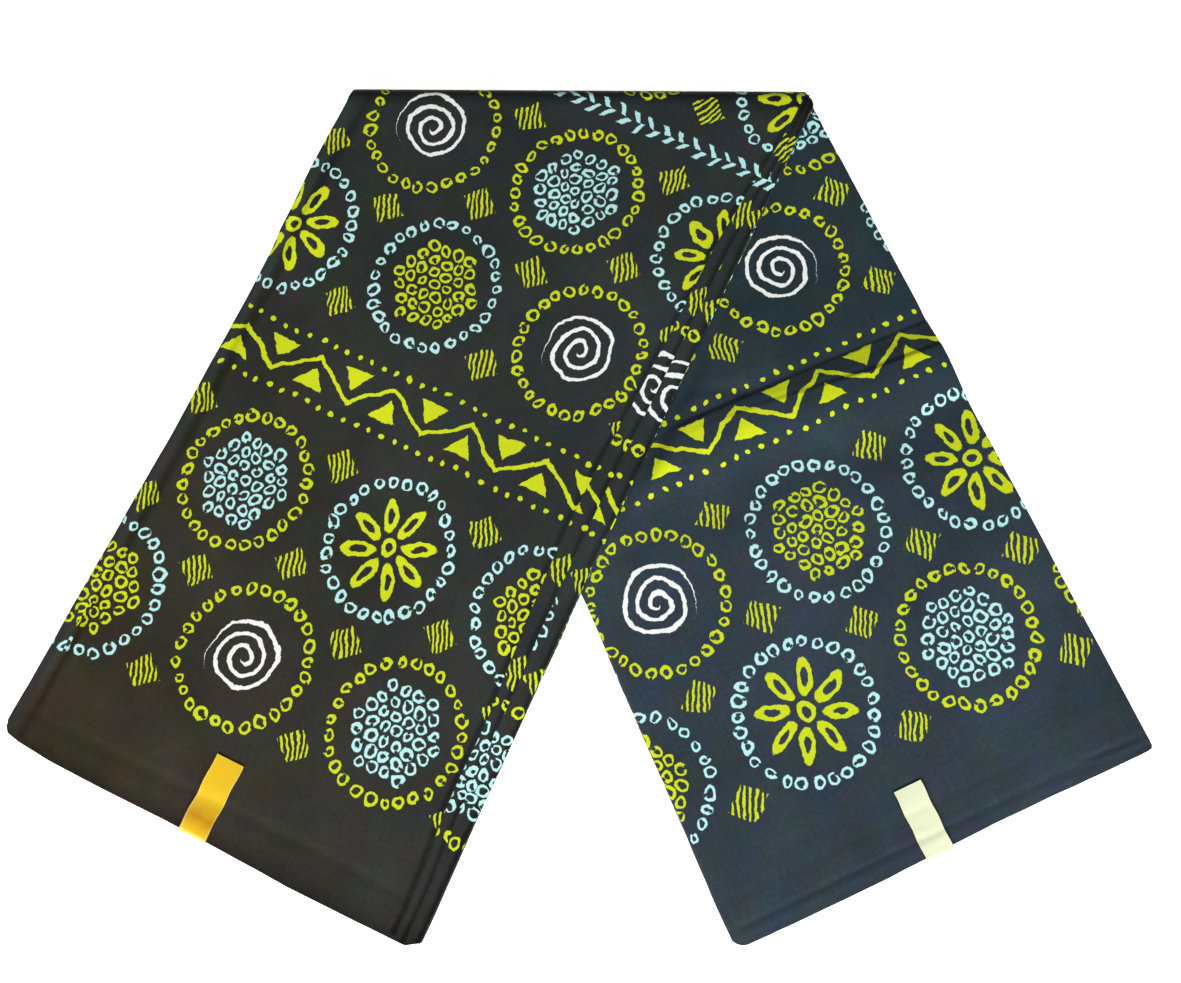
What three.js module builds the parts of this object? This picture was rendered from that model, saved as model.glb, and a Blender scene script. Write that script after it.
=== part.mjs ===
// A six yard length of wax print cotton, zigzag folded into a flat strip and laid in an upturned V.
// The strip is as long as the cloth is wide, so both ends of the strip are selvages. It is turned
// under once along a slanted line at the top: the left leg lies on the right leg, then comes down
// to the surface beside it. Millimetres, Z up, X to the right, Y towards the turned fold.

import * as THREE from 'three';

// Driving dimensions of the cloth and of the way it is folded.
const CLOTH_WIDTH = 1168;
const PACK_WIDTH = 311;
const LEG_ANGLE = THREE.MathUtils.degToRad(25);
const LEFT_SHORT_EDGE = 511;
const PACK_THICKNESS = 9;
const WALL = 1;
const GAP = 0.3;
const ROUNDING = 0.35;

// The left leg bridges a little past the right leg's edge, then comes down to the surface.
const BRIDGE = 22;
const COME_DOWN = 100;

// Rows of a leg are square to its edges up to here, and fan out to the slanted fold line above.
const SQUARE_ROWS_END = 400;
const SELVAGE_BLEND = 60;

// The left leg's outer edge is drawn in a little below the turned fold.
const EDGE_BOW = 2.8;
const EDGE_BOW_SKEW = 0.6;

// The outer face slides round the turned fold by this much from top to bottom, and is back in line
// at the slide's end, a distance down from the fold.
const TURN_SLIDE = 6;
const SLIDE_END = 120;

// The selvage of the uppermost panel stops short of the layers under it.
const SELVAGE_STEP = 3;

// Printed ribbon labels folded over the two selvages.
const LABEL_WIDTH = 20;
const LABEL_CENTRE = 149;
const LABEL_DROP = 5;
const LABEL_EASE = 1.2;
const LEFT_LABEL_LENGTH = 54;
const RIGHT_LABEL_LENGTH = 47;

// Folded edges on the left leg's inner side, by the distance v from the selvage: spread is how
// far the outermost one strays out of line, and top and second are the two upper panels' steps
// back from it.
const EDGE_STEPS = [
  { v: 0, spread: 5.2, top: 17, second: 9 },
  { v: 120, spread: 2.8, top: 22, second: 12 },
  { v: 300, spread: 0.4, top: 27, second: 14 },
  { v: 500, spread: 0, top: 21, second: 10 },
  { v: 655, spread: 0, top: 9, second: 4 },
];

// How far the right leg's inner edge is drawn in.
const RIGHT_INNER_EDGE = [
  { v: 0, drawnIn: 0.8 },
  { v: 130, drawnIn: 2.8 },
  { v: 260, drawnIn: 5 },
  { v: 480, drawnIn: 0 },
];

// How far each selvage end strays out past a square cut, across the leg.
const LEFT_SELVAGE = [
  { w: 0, out: -3.5 },
  { w: 55, out: -0.6 },
  { w: 110, out: -0.8 },
  { w: 149, out: -1.5 },
  { w: 215, out: 1.4 },
  { w: 311, out: 1 },
];
const RIGHT_SELVAGE = [
  { w: 0, out: 0 },
  { w: 90, out: 0.5 },
  { w: 200, out: -1 },
  { w: 311, out: 0 },
];

// Radii of the rounded corners at the selvage ends.
const SHARP_CORNER = 5;
const LEFT_OUTER_CORNER = 9;
const RIGHT_INNER_CORNER = 10;

// Soft pressed creases that stand up from the right leg's face: a row for each, at a distance v
// from the selvage at the inner and outer edge, with its height and half width.
const RIGHT_CREASES = [
  { inner: 322, outer: 316, height: 3.2, spread: 15 },
  { inner: 17, outer: 15, height: 0.7, spread: 8 },
  { inner: 452, outer: 470, height: 0.8, spread: 22 },
];
const LEFT_CREASES = [
  { inner: 16, outer: 14, height: 0.6, spread: 9 },
  { inner: 560, outer: 470, height: 0.9, spread: 24 },
];

// The right leg's creases start this far beyond the left leg, and rise to full height over the fade.
const CREASE_CLEAR = 24;
const CREASE_FADE = 20;

// Folded edges that show on the sides of the hidden layers: how far each stands proud.
const LEFT_FOLDS = [0.9, 0.4, 1.0, 0.6];
const RIGHT_FOLDS = [0.7, 1.0, 0.5, 0.9, 0.6, 1.0];
const FOLD_VALLEY = -0.9;

const TOP_STEP_AT_TURN = EDGE_STEPS[EDGE_STEPS.length - 1].top;
const SIN = Math.sin(LEG_ANGLE);
const COS = Math.cos(LEG_ANGLE);
const SLANT = Math.tan(LEG_ANGLE);
const RIGHT_SHORT_EDGE = CLOTH_WIDTH - LEFT_SHORT_EDGE - PACK_WIDTH * SLANT;
const FOLD_LINE = PACK_WIDTH / COS;

const ROUGHNESS = 0.82;
const GROUND = new THREE.Color(0x2f3841);
const GROUND_WARM = new THREE.Color(0x37332f);
const GROUND_SHADE = new THREE.Color(0x1f252b);
const LABEL_GOLD = new THREE.Color(0xd9a21b);
const LABEL_PALE = new THREE.Color(0xecefc4);

const lerp = THREE.MathUtils.lerp;

// A smooth curve through one column of a table, by its key column.
function tableAt(table, key, column, value) {
  const last = table.length - 1;
  if (value <= table[0][key]) return table[0][column];
  if (value >= table[last][key]) return table[last][column];
  const next = table.findIndex((row) => row[key] > value);
  const from = table[next - 1];
  const to = table[next];
  const share = THREE.MathUtils.smoothstep(value, from[key], to[key]);
  return lerp(from[column], to[column], share);
}

// How far a rounded corner draws the selvage in at a distance from the side edge.
function cornerInset(distance, radius) {
  if (distance >= radius) return 0;
  const reach = radius - Math.max(distance, 0);
  return radius - Math.sqrt(radius * radius - reach * reach);
}

// Plan of each leg from v, the distance up from its selvage, and w, the distance across the strip
// from the edge that is on the left at both ends.
function leftPlan(v, w) {
  const down = LEFT_SHORT_EDGE - v;
  return [-FOLD_LINE / 2 - SIN * down + COS * w, -COS * down - SIN * w];
}

function rightPlan(v, w) {
  const down = RIGHT_SHORT_EDGE - v;
  const inward = PACK_WIDTH - w;
  return [FOLD_LINE / 2 + SIN * down - COS * inward, -COS * down - SIN * inward];
}

// The left leg's height over the surface: full where the right leg is under it, none beyond.
function lift(x, y) {
  const insideRightLeg = PACK_WIDTH + COS * (x - FOLD_LINE / 2) + SIN * y;
  const rest = THREE.MathUtils.smootherstep(insideRightLeg, -BRIDGE - COME_DOWN, -BRIDGE);
  return (PACK_THICKNESS + GAP) * rest;
}

// Height that the pressed creases add to a face at v and w.
function creaseHeight(creases, v, w) {
  let height = 0;
  for (const crease of creases) {
    const centre = lerp(crease.inner, crease.outer, w / PACK_WIDTH);
    const away = Math.abs(v - centre) / crease.spread;
    if (away < 1) height += crease.height * Math.cos((away * Math.PI) / 2) ** 2;
  }
  return height;
}

// The right leg's creases start a little beyond the left leg that lies on it.
function clearOfLeftLeg(x, y) {
  const beyond = COS * (x + FOLD_LINE / 2) - SIN * y - PACK_WIDTH;
  return THREE.MathUtils.smoothstep(beyond, CREASE_CLEAR, CREASE_CLEAR + CREASE_FADE);
}

const leftLeg = {
  plan: leftPlan,
  slantedEnd: (w) => LEFT_SHORT_EDGE + w * SLANT - GAP / COS,
  selvage: (w) => cornerInset(w, LEFT_OUTER_CORNER) + cornerInset(PACK_WIDTH - w, SHARP_CORNER)
    - tableAt(LEFT_SELVAGE, 'w', 'out', w),
  height: (v, w, h, crease) => {
    const [x, y] = leftPlan(v, w);
    return lift(x, y) + h + crease * creaseHeight(LEFT_CREASES, v, w);
  },
};

const rightLeg = {
  plan: rightPlan,
  slantedEnd: (w) => RIGHT_SHORT_EDGE + (PACK_WIDTH - w) * SLANT - GAP / COS,
  selvage: (w) => cornerInset(w, RIGHT_INNER_CORNER) + cornerInset(PACK_WIDTH - w, SHARP_CORNER)
    - tableAt(RIGHT_SELVAGE, 'w', 'out', w),
  height: (v, w, h, crease) => {
    const [x, y] = rightPlan(v, w);
    const raised = crease * creaseHeight(RIGHT_CREASES, v, w) * clearOfLeftLeg(x, y);
    return PACK_THICKNESS - h + raised;
  },
};

// A row across a leg: a square one at a distance from the selvage, or one fanned by a share of
// what is left up to the slanted fold line.
function squareRow(distance) {
  return (leg, w) => {
    const blend = Math.max(0, 1 - distance / SELVAGE_BLEND);
    return distance + leg.selvage(w) * blend;
  };
}

function fannedRow(share) {
  return (leg, w) => lerp(SQUARE_ROWS_END, leg.slantedEnd(w), share);
}

const LEFT_ROWS = [
  ...[0, SELVAGE_STEP, 14, 32, 62, 100, 145, 190, 235, 280, 325, 365, SQUARE_ROWS_END].map(squareRow),
  ...[0.17, 0.34, 0.51, 0.68, 0.84, 1].map(fannedRow),
];
const RIGHT_ROWS = [
  ...[0, 8, 16, 25, 60, 110, 170, 235, 285, 302, 310, 319, 328, 336, 352, SQUARE_ROWS_END].map(squareRow),
  ...[0.2, 0.4, 0.6, 0.8, 1].map(fannedRow),
];
const PLAIN_RIGHT_ROWS = [
  ...[0, 16, 60, 170, 285, SQUARE_ROWS_END].map(squareRow),
  ...[0.35, 0.7, 1].map(fannedRow),
];

// Columns run along a leg. Each gives w from v, and the share that it starts from.
function bowedEdge(v) {
  const down = THREE.MathUtils.clamp((LEFT_SHORT_EDGE - v) / LEFT_SHORT_EDGE, 0, 1);
  return EDGE_BOW * Math.sin(Math.PI * down ** EDGE_BOW_SKEW);
}

const outermostEdge = (v) => PACK_WIDTH + tableAt(EDGE_STEPS, 'v', 'spread', v);
const topEdge = (v) => outermostEdge(v) - tableAt(EDGE_STEPS, 'v', 'top', v);
const secondEdge = (v) => outermostEdge(v) - tableAt(EDGE_STEPS, 'v', 'second', v);
const LEFT_SHARES = [0, 0.03, 0.13, 0.25, 0.37, 0.49, 0.61, 0.73, 0.85, 0.96, 1];
const LEFT_COLUMNS = [
  ...LEFT_SHARES.map((share) => ({ share, w: (v) => lerp(bowedEdge(v), topEdge(v), share) })),
  { share: 1, w: secondEdge },
  { share: 1, w: outermostEdge },
];
const TOP_COLUMNS = LEFT_COLUMNS.slice(0, -2);
const SECOND_COLUMNS = LEFT_COLUMNS.slice(0, -1);

// The outer face leaves the turned fold set in by its slide.
function slidEdge(v) {
  const fromFold = RIGHT_SHORT_EDGE + PACK_WIDTH * SLANT - v;
  return TURN_SLIDE * (1 - THREE.MathUtils.smoothstep(fromFold, 0, SLIDE_END));
}

const innerEdge = (v) => tableAt(RIGHT_INNER_EDGE, 'v', 'drawnIn', v);
const straightColumn = (share) => ({ share, w: (v) => lerp(innerEdge(v), PACK_WIDTH, share) });
const slidColumn = (share) => ({
  share,
  w: (v) => lerp(slidEdge(v) + innerEdge(v), PACK_WIDTH, share),
});
const RIGHT_SHARES = [0, 0.03, 0.1, 0.17, 0.24, 0.31, 0.38, 0.45, 0.52, 0.6, 0.7, 0.8, 0.9, 0.97, 1];
const RIGHT_COLUMNS = RIGHT_SHARES.map(straightColumn);
const UNDER_COLUMNS = [0, 0.03, 0.26, 0.5, 0.74, 0.97, 1].map(slidColumn);
const PLAIN_COLUMNS = [0, 0.03, 0.26, 0.5, 0.74, 0.97, 1].map(straightColumn);

// Levels through the pack's height, h from its inner face. A wall has soft edges, and the hidden
// layers show a fold for each number in their table.
function wallLevels(from) {
  return [
    { h: from, out: -ROUNDING },
    { h: from + ROUNDING, out: 0 },
    { h: from + WALL - ROUNDING, out: 0 },
    { h: from + WALL, out: -ROUNDING },
  ];
}

function foldLevels(from, to, folds) {
  const pitch = (to - from) / folds.length;
  const levels = [{ h: from, out: FOLD_VALLEY }];
  folds.forEach((proud, index) => {
    levels.push({ h: from + pitch * (index + 0.5), out: FOLD_VALLEY + proud });
    levels.push({ h: from + pitch * (index + 1), out: FOLD_VALLEY });
  });
  return levels;
}

// A point of a leg's layer. The free edges move out by the level's amount, and the rows at the
// turned fold stay where they are.
function legPlace(leg, crease) {
  return (row, column, level, rowSide, columnSide) => {
    const near = row(leg, PACK_WIDTH * column.share);
    const w = column.w(near) + columnSide * level.out;
    const v = row(leg, w) + Math.min(rowSide, 0) * level.out;
    const [x, y] = leg.plan(v, w);
    return [x, y, leg.height(v, w, level.h, crease)];
  };
}

// A point of a layer on its way round the turned fold: turn runs from the left leg's face, over
// the outside, to the right leg's face.
function turnPlace(slide) {
  return (turn, column, level, turnSide, columnSide) => {
    const radius = level.h + GAP / 2;
    const angle = Math.PI * (0.5 - turn);
    const insetLeft = slide * TURN_SLIDE * turn;
    const insetRight = slide * TOP_STEP_AT_TURN * (1 - turn);
    const across = lerp(insetLeft, PACK_WIDTH - insetRight, column) + columnSide * level.out;
    const x = across / COS - FOLD_LINE / 2;
    return [x, radius * Math.cos(angle), PACK_THICKNESS + GAP / 2 + radius * Math.sin(angle)];
  };
}

// Six times the volume between a triangle and the origin, signed by the way it faces.
function signedVolume(points, a, b, c) {
  const [ax, ay, az] = points[a];
  const [bx, by, bz] = points[b];
  const [cx, cy, cz] = points[c];
  return ax * (by * cz - bz * cy) + ay * (bz * cx - bx * cz) + az * (bx * cy - by * cx);
}

// A closed layer of cloth: a grid on its lowest and on its highest level, and one ring of points
// round its edge for each level. Faces are turned to point out at the end.
function clothLayer(name, color, rows, columns, levels, place) {
  const points = [];
  const faces = [];
  const lastRow = rows.length - 1;
  const lastColumn = columns.length - 1;
  const side = (index, last) => (index === 0 ? -1 : Number(index === last));

  const addPoint = (i, j, level) => {
    points.push(place(rows[i], columns[j], level, side(i, lastRow), side(j, lastColumn)));
    return points.length - 1;
  };
  const addQuad = (a, b, c, d) => faces.push([a, b, c], [a, c, d]);

  const border = [];
  for (let j = 0; j < lastColumn; j += 1) border.push([0, j]);
  for (let i = 0; i < lastRow; i += 1) border.push([i, lastColumn]);
  for (let j = lastColumn; j > 0; j -= 1) border.push([lastRow, j]);
  for (let i = lastRow; i > 0; i -= 1) border.push([i, 0]);

  const addGrid = (level, up) => {
    const grid = rows.map((row, i) => columns.map((column, j) => addPoint(i, j, level)));
    for (let i = 0; i < lastRow; i += 1) {
      for (let j = 0; j < lastColumn; j += 1) {
        const corners = [grid[i][j], grid[i][j + 1], grid[i + 1][j + 1], grid[i + 1][j]];
        if (up) addQuad(...corners);
        else faces.push([corners[0], corners[2], corners[1]], [corners[0], corners[3], corners[2]]);
      }
    }
    return border.map(([i, j]) => grid[i][j]);
  };

  let below = addGrid(levels[0], false);
  levels.slice(1).forEach((level, index) => {
    const isTop = index === levels.length - 2;
    const above = isTop ? addGrid(level, true) : border.map(([i, j]) => addPoint(i, j, level));
    below.forEach((point, k) => {
      const next = (k + 1) % below.length;
      addQuad(point, below[next], above[next], above[k]);
    });
    below = above;
  });

  const volume = faces.reduce((sum, [a, b, c]) => sum + signedVolume(points, a, b, c), 0);
  const outward = volume > 0 ? faces : faces.map(([a, b, c]) => [a, c, b]);
  const geometry = new THREE.BufferGeometry();
  geometry.setAttribute('position', new THREE.Float32BufferAttribute(points.flat(), 3));
  geometry.setIndex(outward.flat());
  geometry.computeVertexNormals();
  const finish = new THREE.MeshStandardMaterial({ color, roughness: ROUGHNESS, metalness: 0 });
  const mesh = new THREE.Mesh(geometry, finish);
  mesh.name = name;
  return mesh;
}

// The ribbon's length as stations: down the selvage, round its bend, and up the face by the same
// rows as the panel under it.
const LEFT_LABEL_ROWS = [14, 32, LEFT_LABEL_LENGTH];
const RIGHT_LABEL_ROWS = [8, 16, 25, RIGHT_LABEL_LENGTH];

function labelStations(distances) {
  const bend = [1, 0.5, 0].map((share) => ({ turn: (share * Math.PI) / 2, along: 0 }));
  const face = distances.map((along) => ({ turn: 0, along }));
  return [{ turn: Math.PI / 2, along: -LABEL_DROP }, ...bend, ...face];
}

// A ribbon laid on a leg from the points of its face, moved out.
function labelPlace(leg, faceHeight) {
  return (station, across, level, stationSide, columnSide) => {
    const w = LABEL_CENTRE + LABEL_WIDTH * (across - 0.5) + columnSide * level.out;
    const reach = GAP + level.h;
    const alongFace = Math.max(station.along, 0);
    const hanging = Math.min(station.along, 0);
    const faceV = squareRow(alongFace)(leg, w);
    const loose = station.along > 0 ? 0 : LABEL_EASE;
    const [x, y] = leg.plan(faceV - loose - reach * Math.sin(station.turn), w);
    const rise = reach * Math.cos(station.turn) + hanging;
    return [x, y, leg.height(faceV, w, faceHeight, 1) + rise];
  };
}

function label(name, color, leg, rows, faceHeight) {
  const place = labelPlace(leg, faceHeight);
  return clothLayer(name, color, labelStations(rows), [0, 0.5, 1], wallLevels(0), place);
}

// Heights of the walls in the stack, from the inner face that meets the other leg.
const OUTER_FACE = PACK_THICKNESS - WALL;
const SECOND_FACE = OUTER_FACE - WALL - GAP;
const THIRD_FACE = SECOND_FACE - WALL - GAP;
const LAYERS_FROM = WALL + GAP;

function leftLegPieces() {
  const flat = legPlace(leftLeg, 0);
  const creased = legPlace(leftLeg, 1);
  const layers = foldLevels(LAYERS_FROM, THIRD_FACE - GAP, LEFT_FOLDS);
  return [
    clothLayer('left_leg_top_panel', GROUND_WARM, LEFT_ROWS.slice(1), TOP_COLUMNS,
      wallLevels(OUTER_FACE), creased),
    clothLayer('left_leg_second_panel', GROUND_WARM, LEFT_ROWS, SECOND_COLUMNS,
      wallLevels(SECOND_FACE), flat),
    clothLayer('left_leg_third_panel', GROUND_WARM, LEFT_ROWS, LEFT_COLUMNS,
      wallLevels(THIRD_FACE), flat),
    clothLayer('left_leg_layers', GROUND_SHADE, LEFT_ROWS, LEFT_COLUMNS, layers, flat),
    clothLayer('left_leg_under_panel', GROUND_WARM, LEFT_ROWS, LEFT_COLUMNS, wallLevels(0), flat),
    label('left_label', LABEL_GOLD, leftLeg, LEFT_LABEL_ROWS, PACK_THICKNESS),
  ];
}

function rightLegPieces() {
  const flat = legPlace(rightLeg, 0);
  const creased = legPlace(rightLeg, 1);
  const layers = foldLevels(LAYERS_FROM, OUTER_FACE - GAP, RIGHT_FOLDS);
  return [
    clothLayer('right_leg_top_panel', GROUND, RIGHT_ROWS, RIGHT_COLUMNS, wallLevels(0), creased),
    clothLayer('right_leg_layers', GROUND_SHADE, PLAIN_RIGHT_ROWS, PLAIN_COLUMNS, layers, flat),
    clothLayer('right_leg_under_panel', GROUND, PLAIN_RIGHT_ROWS, UNDER_COLUMNS,
      wallLevels(OUTER_FACE), flat),
    label('right_label', LABEL_PALE, rightLeg, RIGHT_LABEL_ROWS, 0),
  ];
}

function turnedFoldPieces() {
  const turns = [0, 0.1, 0.2, 0.3, 0.4, 0.5, 0.6, 0.7, 0.8, 0.9, 1];
  const columns = [0, 0.02, 0.2, 0.4, 0.6, 0.8, 0.98, 1];
  const layers = foldLevels(GAP, OUTER_FACE - GAP, RIGHT_FOLDS);
  return [
    clothLayer('turned_fold_panel', GROUND, turns, columns, wallLevels(OUTER_FACE), turnPlace(1)),
    clothLayer('turned_fold_layers', GROUND_SHADE, turns, columns, layers, turnPlace(0)),
  ];
}

const pack = new THREE.Group();
pack.add(...leftLegPieces(), ...rightLegPieces(), ...turnedFoldPieces());

// The origin is the middle of the whole pack's box, on the surface that it lies on.
const box = new THREE.Box3().setFromObject(pack);
const middle = box.getCenter(new THREE.Vector3());
pack.position.set(-middle.x, -middle.y, -box.min.z);

const waxPrintFabric = new THREE.Group();
waxPrintFabric.add(pack);

export default waxPrintFabric;
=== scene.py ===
# %% [markdown]
# # A folded length of wax print cotton
# The real thing is one uncut length of printed cotton. It is zigzag folded into a flat strip, and
# the strip is turned under once into an upturned V. This notebook dresses the CAD frame of it:
# each stretch of cloth that shows becomes a thin sheet, laid by the same strip coordinates as the
# frame, so nothing has to be fitted by eye.

import math
from collections import namedtuple

import bmesh
import bpy
import numpy as np
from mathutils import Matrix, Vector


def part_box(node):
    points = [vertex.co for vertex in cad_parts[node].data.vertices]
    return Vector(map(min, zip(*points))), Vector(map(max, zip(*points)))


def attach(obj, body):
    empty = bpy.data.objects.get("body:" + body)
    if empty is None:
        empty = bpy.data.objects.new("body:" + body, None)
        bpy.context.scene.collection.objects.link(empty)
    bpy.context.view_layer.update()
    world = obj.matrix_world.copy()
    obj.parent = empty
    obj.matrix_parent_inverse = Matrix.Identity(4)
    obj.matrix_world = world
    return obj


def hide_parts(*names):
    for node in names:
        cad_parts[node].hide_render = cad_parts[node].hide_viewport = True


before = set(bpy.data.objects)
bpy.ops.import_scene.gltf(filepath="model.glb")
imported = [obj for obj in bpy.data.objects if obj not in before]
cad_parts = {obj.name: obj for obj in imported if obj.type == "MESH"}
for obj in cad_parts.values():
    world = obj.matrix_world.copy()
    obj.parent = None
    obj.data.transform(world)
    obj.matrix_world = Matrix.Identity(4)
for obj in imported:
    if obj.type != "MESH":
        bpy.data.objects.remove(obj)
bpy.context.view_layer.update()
MM = 0.001

# %% [markdown]
# ## Sizes of the folded strip
# A tailor knows a place on this pack by two lengths: v, up the leg from its selvage, and w, across
# the strip from its left edge. The sizes below are the pack's own, in millimetres, and the turned
# fold of the frame says where the pack lies in space.

# %% Sizes and the pack's place
CLOTH_WIDTH = 1168
PACK_WIDTH = 311
LEG_ANGLE = math.radians(25)
LEFT_SHORT_EDGE = 511
PACK_THICKNESS = 9
GAP = 0.3
BRIDGE = 22
COME_DOWN = 100
SIN, COS, SLANT = math.sin(LEG_ANGLE), math.cos(LEG_ANGLE), math.tan(LEG_ANGLE)
RIGHT_SHORT_EDGE = CLOTH_WIDTH - LEFT_SHORT_EDGE - PACK_WIDTH * SLANT
FOLD_LINE = PACK_WIDTH / COS

fold_low, fold_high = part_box("turned_fold_panel")
PACK_X = (fold_low.x + fold_high.x) / 2 / MM
PACK_Y = fold_high.y / MM - PACK_THICKNESS - GAP / 2
print("fold line in mm: x", round(PACK_X, 1), "y", round(PACK_Y, 1), "length", round(FOLD_LINE, 1))

# %% [markdown]
# ## Edges that are never quite straight
# Folds of a hand folded pack stray by a few millimetres. Short tables hold how far, at a few
# distances up the leg, and a smooth curve is drawn through each column. On the left leg's inner
# side the two upper panels step back from the outermost folds. The leg's outer side bows, and the
# top panel slides a little on its way round the turned fold.

# %% Tables of the edges
EDGE_STEPS_V = [0, 120, 300, 500, 655]
OUTERMOST_STRAY = [5.2, 2.8, 0.4, 0, 0]
TOP_STEP = [17, 22, 27, 21, 9]
SECOND_STEP = [9, 12, 14, 10, 4]
RIGHT_INNER_V = [0, 130, 260, 480]
RIGHT_INNER_IN = [0.8, 2.8, 5, 0]
LEFT_SELVAGE_W = [0, 55, 110, 149, 215, 311]
LEFT_SELVAGE_OUT = [-3.5, -0.6, -0.8, -1.5, 1.4, 1]
RIGHT_SELVAGE_W = [0, 90, 200, 311]
RIGHT_SELVAGE_OUT = [0, 0.5, -1, 0]
EDGE_BOW, EDGE_BOW_SKEW = 2.8, 0.6
TURN_SLIDE, SLIDE_END = 6, 120


def ramp(value, low, high):
    """A smooth step from 0 at low to 1 at high."""
    share = np.clip((value - low) / (high - low), 0, 1)
    return share * share * (3 - 2 * share)


def curve(value, places, heights):
    """A smooth curve through a table's column."""
    total = np.full_like(value, heights[0], dtype=float)
    for i in range(len(places) - 1):
        total += (heights[i + 1] - heights[i]) * ramp(value, places[i], places[i + 1])
    return total


def corner(distance, radius):
    """How far a rounded corner draws an end in."""
    reach = radius - np.clip(distance, 0, radius)
    return radius - np.sqrt(radius * radius - reach * reach)


def wander(place, seed, size=1.0):
    """A slow unevenness of a folded edge."""
    waves = np.sin(place / 41 + seed * 1.7) + 0.6 * np.sin(place / 17 + seed * 4.1)
    return size * (waves + 0.35 * np.sin(place / 7.3 + seed * 2.3)) / 1.95


stray = curve(np.zeros(1), EDGE_STEPS_V, OUTERMOST_STRAY)[0]
print("the outermost fold strays", float(stray), "mm at the left selvage")

# %% [markdown]
# ## Creases
# A pack that has been opened and folded again keeps soft pressed creases. They could be sculpted
# by hand, but a table keeps each one at a real place and size. Each row is one crease, drawn
# between two places on a leg: a ridge has a positive height and a trough a negative one. The
# pressed tuck across the right leg is a long slope, a crest and a valley that don't run parallel,
# so it has a function of its own. Heights are later divided by the whole pack's thickness, so the
# layers rise together.

# %% Creases of each leg, from (v, w) to (v, w), with height and half width
LEFT_CREASES = [
    ((14, -20), (13, 330), 0.22, 5),
    ((24, -20), (27, 330), -0.45, 4),
    ((560, 10), (470, 300), 0.8, 20),
    ((508, 8), (10, 12), -1.5, 3.0),
    ((610, 303), (20, 305), -0.6, 1.7),
    ((600, 296), (330, 297), -0.5, 1.6),
    ((470, 17), (120, 19), 0.4, 5),
    ((610, 150), (560, 260), 0.5, 5),
    ((630, 190), (598, 262), -0.5, 4),
    ((600, 215), (540, 285), 0.45, 5),
    ((585, 255), (520, 292), -0.45, 4),
    ((350, 40), (310, 130), 0.3, 12),
    ((190, 200), (235, 290), -0.3, 10),
    ((130, 30), (95, 150), 0.3, 14),
    ((52, 120), (47, 260), 0.2, 6),
    ((70, 60), (64, 200), -0.15, 5),
]
RIGHT_CREASES = [
    ((362, 118), (334, 175), -0.9, 5),
    ((286, -10), (262, 60), -0.6, 6),
    ((252, 12), (238, 34), 0.5, 3),
    ((13, -20), (12, 330), -0.4, 1.8),
    ((8, -20), (7, 330), 0.25, 2.5),
    ((31, -20), (29, 330), -0.2, 2.6),
    ((9, 250), (3, 325), -0.5, 2),
    ((14, 262), (9, 325), -0.4, 1.8),
    ((452, -10), (470, 330), 0.9, 20),
    ((400, 120), (372, 300), 0.5, 14),
    ((230, 30), (205, 190), -0.35, 14),
    ((130, 160), (165, 300), 0.35, 16),
    ((60, 20), (52, 140), 0.3, 8),
]
print("creases by hand:", len(LEFT_CREASES), "left,", len(RIGHT_CREASES), "right")

# %% [markdown]
# ## Ridges, the tuck and slow waves
# A crease is a rounded ridge or groove that fades at both ends and is never quite even along its
# line. The tuck is made of smooth steps, because its crest and its valley are sharper than a ridge
# can be. Slow waves and slightly thinner sides add the rest.

# %% Heights of the creases
BILLOW, THINNED_BY = 0.30, 0.8
TUCK_HEIGHT, TUCK_VALLEY, TUCK_W = 5.0, 0.8, 90
CREST_AT, CREST_SLOPE = 329, 0.091
VALLEY_AT, VALLEY_SLOPE = 335, 0.016


def crease_field(v, w, creases):
    """Height in millimetres that the creases add at v and w."""
    total = np.zeros_like(v, dtype=float)
    for (v0, w0), (v1, w1), height, half in creases:
        along_v, along_w = v1 - v0, w1 - w0
        length = math.hypot(along_v, along_w)
        share = ((v - v0) * along_v + (w - w0) * along_w) / length**2
        off = ((v - v0) * along_w - (w - w0) * along_v) / length
        off = off + 0.12 * half * np.sin(share * 9 + v0)
        fade = ramp(share, -0.02, 0.12) * (1 - ramp(share, 0.86, 1.02))
        uneven = 0.82 + 0.18 * np.sin(share * 7 + w0 + v0)
        total += height * uneven * fade * np.exp(-((off / half) ** 2))
    return total


def tuck(v, w):
    """The pressed tuck: a long slope up to a crest, a short drop and a sharp valley behind it."""
    crest = CREST_AT - (w - TUCK_W) * CREST_SLOPE + 0.7 * np.sin(w / 23)
    valley = VALLEY_AT - (w - TUCK_W) * VALLEY_SLOPE + 0.5 * np.sin(w / 31 + 1)
    rise = ramp(v, crest - 46, crest - 8) - 0.3 * np.exp(-(((v - crest + 54) / 20) ** 2))
    sharp = 0.35 * ramp(v, crest - 0.6, crest + 2.0) + 0.65 * ramp(v, crest + 1.4, valley + 1)
    slow = ramp(v, valley, valley + 90)
    drop = slow + 0.85 * ramp(w, 60, 290) * (sharp - slow)
    groove = ramp(v, valley - 2.4, valley) * (1 - ramp(v, valley, valley + 16))
    deep = TUCK_VALLEY * (1.9 - 0.9 * ramp(w, 100, 220))
    return ramp(w, 10, 80) * (TUCK_HEIGHT * (rise - drop) - deep * groove)


def billow(v, w, seed):
    """Slow waves of cloth that never lies quite flat."""
    waves = np.sin(v / 57 + seed) * np.cos(w / 43 + 2 * seed)
    return BILLOW * (waves + 0.5 * np.sin(v / 23 - w / 31 + seed))


def side_thinning(w):
    """The pack is a little thinner along its folded sides."""
    return -THINNED_BY * (np.exp(-((w / 6) ** 2)) + np.exp(-(((PACK_WIDTH - w) / 7) ** 2)))


print("tuck in mm near its crest:", float(tuck(np.array([318.0]), np.array([150.0]))[0]))

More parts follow.
